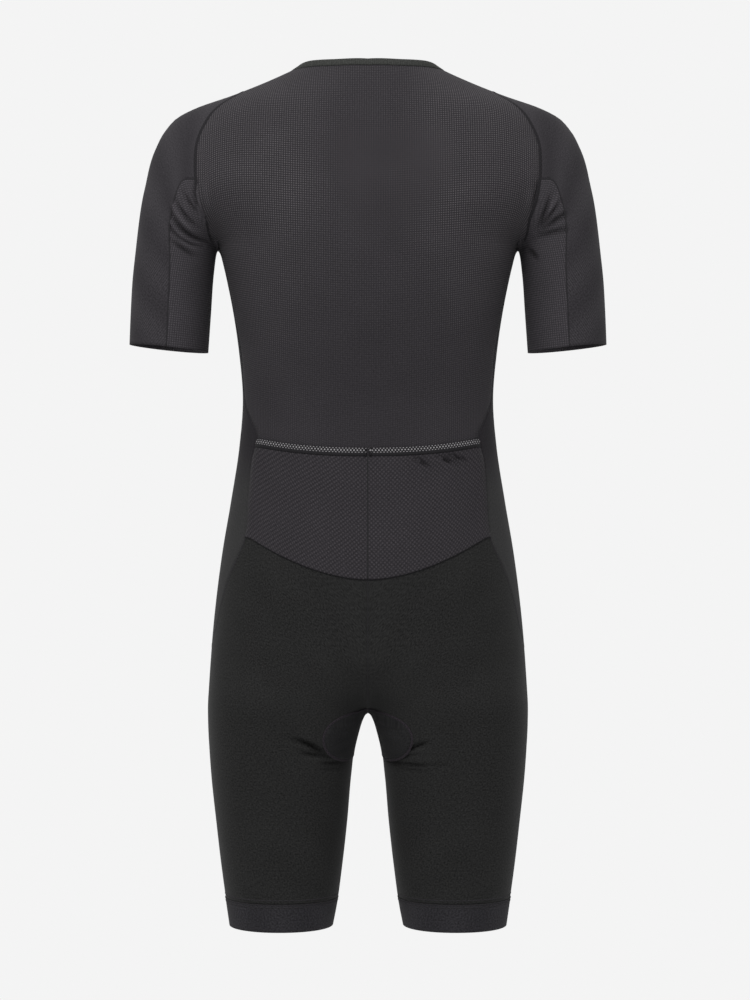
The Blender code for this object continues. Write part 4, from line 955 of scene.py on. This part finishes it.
def makePocket():
    grid = through(lowPart, 3 * (len(lowPart) - 1))
    piece = clothObject("pocketCloth", grid, materials["pocketMesh"], pocketLook["wall"], pocketLook["lift"])
    dress(piece, ["pocket_panel"])
    middle = tapePart.shape[1] // 2
    for name, columns in (("left", slice(middle, None)), ("right", slice(None, middle + 1))):
        strip = tapePart[:, columns].copy()
        inner = 0 if name == "left" else -1
        strip[:, inner, 0] += tapeLook["gap"] * (1 if name == "left" else -1)
        strip[-1, inner, 0] += 0.0012 * (1 if name == "left" else -1)
        place = measured(strip)
        piece = clothObject("pocketTape" + name.title(), strip, materials["tape"], tapeLook["wall"],
                            tapeLook["lift"], place=place)
        dress(piece, ["pocket_tape_" + name])
    centre = lowPart[:, middle] + normals(lowPart[:, middle]) * pocketLook["lift"]
    seamStrip("pocketCentreSeam", centre, stitches["centre"], materials["centreStitch"])


makePocket()
print("pocket made")


# fronts
frontLook = dict(wall=0.0009, flat=(0.22, 0.56), area=0.078)


def frontGrid():
    lowEdge = np.concatenate([side["front"]["pocket"][::-1], side["front"]["tape"][::-1][1:],
                              side["front"]["side"][::-1][1:]])
    armEdge = np.concatenate([armhole["frontCap"], armhole["frontUnder"][1:]])[::-1]
    outer = np.concatenate([lowEdge, armEdge[1:]])
    top = np.concatenate([neckFore[::-1], shoulder[1:]])
    innerZ = np.linspace(frontSeam[0][2], top[0][2], len(outer))
    inner = onFront(np.full(len(outer), zipLook["half"]), innerZ)
    inner[0], inner[-1] = frontSeam[0], top[0]
    return panel(frontSeam, top, inner, outer, 60)


def bothSides(stem, node, grid, material, look, slot, **more):
    place = measured(grid)
    for name, points in (("left", grid), ("right", mirrored(grid))):
        piece = clothObject(stem + name.title(), points, material, look["wall"], place=place, **more)
        dress(piece, [node + "_" + name])


bothSides("frontCloth", "front", frontGrid(), materials["frontKnit"], frontLook, "front_knit")
print("fronts made")


# side panels
sideLook = dict(wall=0.0009, flat=(0.10, 0.42), area=0.030)


def tipPoints():
    back, front = side["back"]["wedge"][-1], side["front"]["wedge"][-1]
    share = np.linspace(0, 1, cells["underarm"] * fineStep + 1)[:, None]
    line = settle(back * (1 - share) + front * share, 6, arms=False)
    line[0], line[-1] = back, front
    return line


def sideGrid():
    edges = []
    for name in ("back", "front"):
        rows = side[name]
        edges.append(np.concatenate([rows["side"], rows["tape"][1:], rows["pocket"][1:], rows["wedge"][1:]]))
    share = np.linspace(0, 1, cells["underarm"] * fineStep + 1)[None, :, None]
    grid = edges[0][:, None] * (1 - share) + edges[1][:, None] * share
    top = 2 * fineStep
    grid = settle(grid, 6, arms=False)
    drop = (armhole["underarm"] - grid[0])[None] * (1 - np.linspace(0, 1, top))[:, None, None]**2
    grid[:top] = settle(grid[:top] + drop, 4)
    return keepEdges(grid, armhole["underarm"], tipPoints(), edges[0], edges[1])


bothSides("sideCloth", "side", sideGrid(), materials["sideKnit"], sideLook, "side_knit")
print("side panels made")


# sleeves
sleeveLook = dict(wall=0.0009, flat=(0.20, 0.26), area=0.0415)
underLook = dict(wall=0.0009, flat=(0.15, 0.17), area=0.022)


def makeSleeves():
    cap = np.concatenate([armhole["backCap"], armhole["frontCap"][1:]])
    under = np.concatenate([armhole["backUnder"][::-1], armhole["underarm"][1:],
                            armhole["frontUnder"][::-1][1:]])
    turn = cuff["seamTurn"]
    outerCuff = cuffRing(cells["backCap"] + cells["frontCap"], turn, -turn)
    underCuff = cuffRing(cells["backUnder"] + cells["underarm"] + cells["frontUnder"], turn, 360 - turn)
    rear = sleeveSeam(cap[0], outerCuff[0], onBack)
    fore = sleeveSeam(cap[-1], outerCuff[-1], onFront)
    bothSides("sleeveCloth", "sleeve", panel(outerCuff, cap, rear[::-1], fore[::-1], 40),
              materials["sleeveTwill"], sleeveLook, "sleeve_twill")
    inner = panel(underCuff, under, rear[::-1], fore[::-1], 40)
    inner = np.swapaxes(through(np.swapaxes(inner, 0, 1), 2 * (inner.shape[1] - 1)), 0, 1)
    inner = through(inner, 2 * (len(inner) - 1))
    bothSides("underSleeve", "sleeve_under", inner, materials["underMesh"], underLook, "under_sleeve_mesh")
    return rear, fore


sleeveRear, sleeveFore = makeSleeves()
print("sleeves made")


# seat pad and legs
padLook = dict(wall=0.0010, lift=0.0008, flat=(0.12, 0.26), area=0.022)
legLook = dict(wall=0.0009, flat=(0.52, 0.39), area=0.155)
bandLook = dict(wall=0.0014, lift=0.0004, flat=(0.39, 0.032), area=0.0124, rows=10)


def padGrid():
    x, z = np.array(padEdge).T
    tip = [[0.0, 0.0, -0.6815]]
    rear = np.concatenate([cast(tip, (0, 1, 0), 0.2, arms=False, leaving=True), onBack(x, z),
                           settle(np.array([padInseam]), 8)])
    fore = np.concatenate([settle(rear[-1:] * np.array([1, -1, 1.0]), 8), onFront(x, z)[::-1],
                           cast(tip, (0, -1, 0), 0.2, arms=False, leaving=True)])
    count = cells["gusset"] * fineStep * 2
    edge = settle(smoothLine(np.concatenate([rear, fore]), count), 3)
    edge[0, 0] = edge[-1, 0] = 0
    ridge = centreArc(edge[0], edge[-1], count)
    share = np.linspace(0, 1, cells["gussetHalf"] * fineStep + 1)[None, :, None]
    half = ridge[:, None] * (1 - share) + edge[:, None] * share
    half[1:-1, 1:-1] = settle(half[1:-1, 1:-1], 8)
    for _ in range(12):
        inner = (half[:-2, 1:-1] + half[2:, 1:-1] + half[1:-1, :-2] + half[1:-1, 2:]) / 4
        half[1:-1, 1:-1] = settle(half[1:-1, 1:-1] * 0.4 + inner * 0.6, 2)
    return np.concatenate([mirrored(half[:, :0:-1]), half], axis=1), edge


def legGrid():
    wedgeBack, wedgeFront = side["back"]["wedge"], side["front"]["wedge"]
    top = np.concatenate([seatSeam, wedgeBack[1:], tipPoints()[1:-1], wedgeFront[::-1], frontSeam[::-1][1:]])
    belly = onFront([0.0], [levels["frontSeamCentre"]])
    top = np.concatenate([top, belly])
    crotch = cast([[0.0, 0.0, form["seatTurnZ"]]], (0, 0, -1), 0.2, arms=False, leaving=True)[0]
    steps = (cells["seat"] + 3) * fineStep
    seat = centreArc(seatSeam[0], crotch, steps)
    fore = centreArc(belly[0], crotch, steps)
    hemTop = form["hemZ"] + form["bandHeight"]
    inseamZ = np.linspace(crotch[2], hemTop, cells["inseam"] * fineStep + 1)[1:]
    inseam = onLeg(math.pi, inseamZ)
    angle = np.linspace(math.pi, -math.pi, len(top))
    hem = onLeg(angle, np.full(len(top), hemTop))
    hem[-1] = hem[0]

    def flat(line, sign):
        turned = np.arctan2(line[:, 1], line[:, 0] - form["legAxisX"])
        return np.stack([np.abs(turned) * sign, line[:, 2]], -1)

    left = np.concatenate([seat, inseam])[::-1]
    right = np.concatenate([fore, inseam])[::-1]
    flatTop = np.stack([np.arctan2(top[:, 1], top[:, 0] - form["legAxisX"]), top[:, 2]], -1)
    flatHem = np.stack([angle, hem[:, 2]], -1)
    spots = patch(flatHem, flatTop, flat(left, 1), flat(right, -1), 3)
    for line, sign in ((left, 1), (right, -1)):
        # no point turns past the middle line at its own height
        edge = flat(line, 1)
        order = np.argsort(edge[:, 1])
        most = np.interp(spots[..., 1], edge[order, 1], edge[order, 0]) - 0.004
        spots[1:-1, 1:-1, 0] = sign * np.minimum(sign * spots[..., 0], most)[1:-1, 1:-1]
    grid = onLeg(spots[..., 0], spots[..., 1])
    return keepEdges(grid, hem, top, left, right), seat, np.concatenate([crotch[None], inseam])


def openUnderPad(piece, pad):
    # the leg cloth ends under the pad's edge
    tree = kdtree.KDTree(pad.shape[0] * pad.shape[1])
    inner = set()
    margin, tip = 1, 6
    for row in range(pad.shape[0]):
        for column in range(pad.shape[1]):
            index = row * pad.shape[1] + column
            tree.insert(pad[row, column].tolist(), index)
            if margin < column < pad.shape[1] - 1 - margin and tip < row < pad.shape[0] - 1 - tip:
                inner.add(index)
    tree.balance()
    shape = bmesh.new()
    shape.from_mesh(piece.data)
    covered = []
    for face in shape.faces:
        _, index, distance = tree.find(face.calc_center_median())
        if index in inner and distance < 0.006:
            covered.append(face)
    bmesh.ops.delete(shape, geom=covered, context="FACES")
    shape.to_mesh(piece.data)
    shape.free()


def makeLegs():
    pad, padLine = padGrid()
    grid, seat, inseam = legGrid()
    grid = through(grid, 2 * (len(grid) - 1))
    place = measured(grid)
    for name, points in (("left", grid), ("right", mirrored(grid))):
        piece = clothObject("legCloth" + name.title(), points, materials["shortsKnit"], legLook["wall"],
                            place=place)
        openUnderPad(piece, pad)
        dress(piece, ["leg_" + name])
    piece = clothObject("seatPad", pad, materials["padKnit"], padLook["wall"], padLook["lift"], weld=True,
                        crease=lambda points, facing: creaseHeight(points, facing, padCreases, 1))
    dress(piece, ["gusset"])
    return grid, pad, padLine, seat, inseam


legCells, padCells, padLine, seatLine, inseamLine = makeLegs()
print("legs and seat pad made")


def makeBands():
    rows, columns = bandLook["rows"], legCells.shape[1]
    height = np.linspace(form["hemZ"], form["hemZ"] + form["bandHeight"], rows + 1)
    angle = np.linspace(math.pi, -math.pi, columns)
    grid = onLeg(angle[None, :], height[:, None])
    grid[:, -1] = grid[:, 0]
    bothSides("legBand", "band", grid, materials["legBand"], bandLook, "leg_band",
              lift=bandLook["lift"], weld=True)
    lines = dict(low=height[-1] - 0.0034, mid=height[-1] - 0.0006, high=height[-1] + 0.0042)
    for place, z in lines.items():
        path = onLeg(angle, np.full(columns, z))
        path[-1] = path[0]
        for name, points in (("Left", path), ("Right", mirrored(path))):
            seamStrip("hemStitch" + place.title() + name, points, stitches["hem"], materials["hemStitch"],
                      0.0004 if z < height[-1] else 0.0)


makeBands()
print("leg bands made")


# neck binding
neckLook = dict(wall=0.0014, height=0.0070, bulge=0.0004, standsY=0.012, blend=0.036, flat=(0.50, 0.0105),
                area=0.0051, rows=6)


def makeNeck():
    half = np.concatenate([neckRear, neckFore[1:]])
    line = wholeLine(half)
    facing = normals(line)
    up = np.cross(facing, unit(np.gradient(line, axis=0)))
    up = up * np.sign(up[:, 2:3])
    lying = settle(line + up * neckLook["height"], 4)
    standing = line + unit(up * 0.3 + np.array([0, 0, 1.0])) * neckLook["height"]
    share = ease((line[:, 1:2] - neckLook["standsY"]) / neckLook["blend"])
    top = lying * (1 - share) + standing * share
    for end in (0, -1):
        top[end] = onFront([line[end][0]], [top[end][2]])[0]
    share = np.linspace(0, 1, neckLook["rows"] + 1)[:, None, None]
    grid = line[None] * (1 - share) + top[None] * share
    along = np.gradient(grid, axis=1)
    out = unit(np.cross(along, np.broadcast_to((top - line)[None], grid.shape)))
    out = out * np.sign(np.sum(out * normals(line)[None], axis=-1, keepdims=True))
    grid = grid + out * neckLook["bulge"] * np.sin(np.pi * share)
    piece = clothObject("neckBinding", grid, materials["neckBinding"], neckLook["wall"], 0.0003, facing=out,
                        crease=None)
    dress(piece, ["neck_band"])
    seamStrip("neckSeam", line, stitches["side"], materials["sideStitch"])


makeNeck()
print("neck binding made")


# stitched seams
def makeSeams():
    loop = np.concatenate([armhole["backUnder"], armhole["backCap"][1:], armhole["frontCap"][1:],
                           armhole["frontUnder"][1:], armhole["underarm"][::-1][1:]])
    sideLines = {}
    for name in ("back", "front"):
        rows = side[name]
        sideLines[name] = np.concatenate([rows["side"], rows["tape"][1:],
                                          rows["pocket"][1:], rows["wedge"][1:]])
    pairs = [
        ("armholeSeam", loop, "raglan", "back_mesh", 0.0),
        ("sleeveSeamRear", sleeveRear, "sleeve", "sleeve_twill", 0.0),
        ("sleeveSeamFore", sleeveFore, "sleeve", "sleeve_twill", 0.0),
        ("sideSeamRear", sideLines["back"], "side", "side_knit", 0.0),
        ("sideSeamFore", sideLines["front"], "side", "side_knit", 0.0),
        ("shoulderSeam", shoulder, "side", "back_mesh", 0.0),
        ("inseam", inseamLine[6:], "inseam", "shorts_knit", 0.0),
    ]
    for name, path, kind, slot, lift in pairs:
        for end, points in (("Left", path), ("Right", mirrored(path))):
            seamStrip(name + end, points, stitches[kind], materials[kind + "Stitch"], lift)
    seamStrip("seatSeam", wholeLine(seatSeam), stitches["seat"], materials["seatStitch"],
              0.0004)
    seamStrip("frontWaistSeam", wholeLine(frontSeam), stitches["seat"],
              materials["seatStitch"])
    seatBack = seatLine[:int(len(seatLine) * 0.8)]
    seamStrip("seatCentreSeam", seatBack, stitches["centre"], materials["centreStitch"])
    belly = centreArc(onFront([0.0], [levels["frontSeamCentre"]])[0], np.array([0, -0.05, -0.66]), 40)
    seamStrip("bellyCentreSeam", belly, stitches["centre"], materials["centreStitch"])
    for end, points in (("Left", padLine), ("Right", mirrored(padLine))):
        seamStrip("padSeam" + end, points, stitches["pad"], materials["padStitch"], 0.0004)


makeSeams()
print("seams stitched")


# zip
def makeZip():
    topZ = neckFore[-1][2] + neckLook["height"]
    rows = 150
    z = np.linspace(levels["frontSeamCentre"] + 0.0006, topZ, rows + 1)
    across = np.linspace(-zipLook["tapeHalf"], zipLook["tapeHalf"], 9)
    grid = onFront(*np.meshgrid(across, z))
    sunk = np.where(np.abs(across) < 0.0022, -0.0007, 0.0)[None, :] * np.ones((rows + 1, 1))
    facing = normals(grid)
    grid = grid + facing * sunk[..., None]
    piece = clothObject("zipTape", grid, materials["zipTape"], zipLook["wall"], facing=facing, crease=None)
    dress(piece, ["zip_chain"])
    makeTeeth(topZ)


def makeTeeth(topZ):
    # one tooth is modelled, then repeated in turn from the left and the right
    bpy.ops.mesh.primitive_cube_add(size=1)
    tooth = bpy.context.object
    tooth.scale = zipLook["tooth"][0], zipLook["tooth"][1], zipLook["tooth"][2]
    bpy.ops.object.transform_apply(location=False, rotation=False, scale=True)
    bpy.ops.object.mode_set(mode="EDIT")
    bpy.ops.mesh.select_all(action="SELECT")
    bpy.ops.mesh.bevel(offset=0.0003, segments=1)
    bpy.ops.object.mode_set(mode="OBJECT")
    corners = np.array([vert.co[:] for vert in tooth.data.vertices])
    faces = [list(face.vertices) for face in tooth.data.polygons]
    bpy.data.objects.remove(tooth, do_unlink=True)
    count = int((topZ - levels["frontSeamCentre"] - 0.004) / (zipLook["pitch"] / 2))
    z = levels["frontSeamCentre"] + 0.002 + np.arange(count) * zipLook["pitch"] / 2
    turn = np.where(np.arange(count) % 2, 1.0, -1.0)
    middle = onFront(turn * 0.0007, z)
    facing = normals(middle)
    facing[:, 0] = 0
    facing = unit(facing)
    up = np.cross(facing, np.array([-1.0, 0, 0]))
    points, joined = [], []
    for index in range(count):
        place = middle[index] + facing[index] * 0.0001
        local = (corners[:, :1] * np.array([[1.0, 0, 0]]) + corners[:, 1:2] * facing[index]
                 + corners[:, 2:] * up[index])
        start = len(corners) * index
        points.extend((place + local).tolist())
        joined.extend([[start + vert for vert in face] for face in faces])
    mesh = bpy.data.meshes.new("zipTeeth")
    mesh.from_pydata(points, [], joined)
    shape = bmesh.new()
    shape.from_mesh(mesh)
    bmesh.ops.recalc_face_normals(shape, faces=shape.faces[:])
    shape.to_mesh(mesh)
    shape.free()
    mesh.materials.append(materials["zipPlastic"])
    piece = bpy.data.objects.new("zipTeeth", mesh)
    bpy.context.scene.collection.objects.link(piece)
    dress(piece)


def hardMaterial(name, ground, roughness, metallic):
    material, tree, shader = newMaterial(name, roughness, 0.0, specular=0.5)
    shader.inputs["Metallic"].default_value = metallic
    coordinates = addNode(tree, "ShaderNodeTexCoord")
    colour = groupNode(tree, yarnToneAndFoldShade, Place=coordinates.outputs["Object"], Ground=tone(*ground),
                       Yarn=tone(*ground), Mask=0.0, Strength=0.0, Fleck=0.12, Cloud=0.1)
    feed(tree, shader.inputs["Base Color"], colour.outputs["Color"])
    addBump(tree, shader, colour.outputs["Height"], 0.15, 0.0001)
    return material


materials["zipTape"] = clothMaterial("zipTape", dict(ground=(38, 38, 39), yarn=(50, 50, 51),
                                                     pitch=(0.0010, 0.0012),
                                                     roughness=0.75, sheen=0.05))
materials["zipPlastic"] = hardMaterial("zipPlastic", (34, 34, 35), 0.45, 0.0)
materials["zipMetal"] = hardMaterial("zipMetal", (70, 70, 73), 0.35, 0.9)
makeZip()
for name in ("zip_slider", "zip_pull"):
    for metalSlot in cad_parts[name].material_slots:
        metalSlot.material = materials["zipMetal"]
print("zip made")


# studio
studio = dict(floorZ=-1.46, floorRadius=2.4, keySize=1.2, keyPower=38.0, fillPower=6.0)


def makeStudio():
    bpy.ops.mesh.primitive_circle_add(vertices=96, radius=studio["floorRadius"], fill_type="NGON",
                                      location=(0, 0, studio["floorZ"]))
    floor = bpy.context.object
    floor.name = "floor"
    bpy.ops.object.transform_apply(location=True)
    material = bpy.data.materials.new("paleFloor")
    material.use_nodes = True
    shader = material.node_tree.nodes["Principled BSDF"]
    shader.inputs["Base Color"].default_value = (0.86, 0.86, 0.86, 1)
    shader.inputs["Roughness"].default_value = 0.9
    floor.data.materials.append(material)
    world = bpy.data.worlds.new("studio")
    bpy.context.scene.world = world
    world.use_nodes = True
    tree = world.node_tree
    shown = tree.nodes["Background"]
    shown.inputs["Color"].default_value = (light["white"], light["white"], light["white"], 1)
    soft = addNode(tree, "ShaderNodeBackground")
    soft.inputs["Color"].default_value = (light["soft"], light["soft"], light["soft"], 1)
    mix = addNode(tree, "ShaderNodeMixShader")
    feed(tree, mix.inputs[0], addNode(tree, "ShaderNodeLightPath").outputs["Is Camera Ray"])
    feed(tree, mix.inputs[1], soft.outputs[0])
    feed(tree, mix.inputs[2], shown.outputs[0])
    feed(tree, tree.nodes["World Output"].inputs["Surface"], mix.outputs[0])
    for name, place, turn, size, power in (
            ("key", (0.5, 1.9, 1.7), (-42, 0, 0), studio["keySize"], studio["keyPower"]),
            ("top", (0.0, -0.2, 2.4), (0, 0, 0), 2.4, studio["fillPower"])):
        lamp = bpy.data.lights.new(name, "AREA")
        lamp.size = size
        lamp.energy = power
        item = bpy.data.objects.new(name, lamp)
        bpy.context.scene.collection.objects.link(item)
        item.location = place
        item.rotation_euler = [math.radians(angle) for angle in turn]


makeStudio()
cameraData = bpy.data.cameras.new("view")
cameraData.sensor_fit = "HORIZONTAL"
cameraData.sensor_width = 36
cameraData.lens = 141.3
cameraObject = bpy.data.objects.new("view", cameraData)
bpy.context.scene.collection.objects.link(cameraObject)
cameraObject.location = (-0.0075, 3.15, -0.460)
cameraObject.rotation_euler = (math.radians(90), 0, math.radians(180))
bpy.context.scene.camera = cameraObject
bpy.context.scene.view_settings.view_transform = "Standard"
print("studio ready")
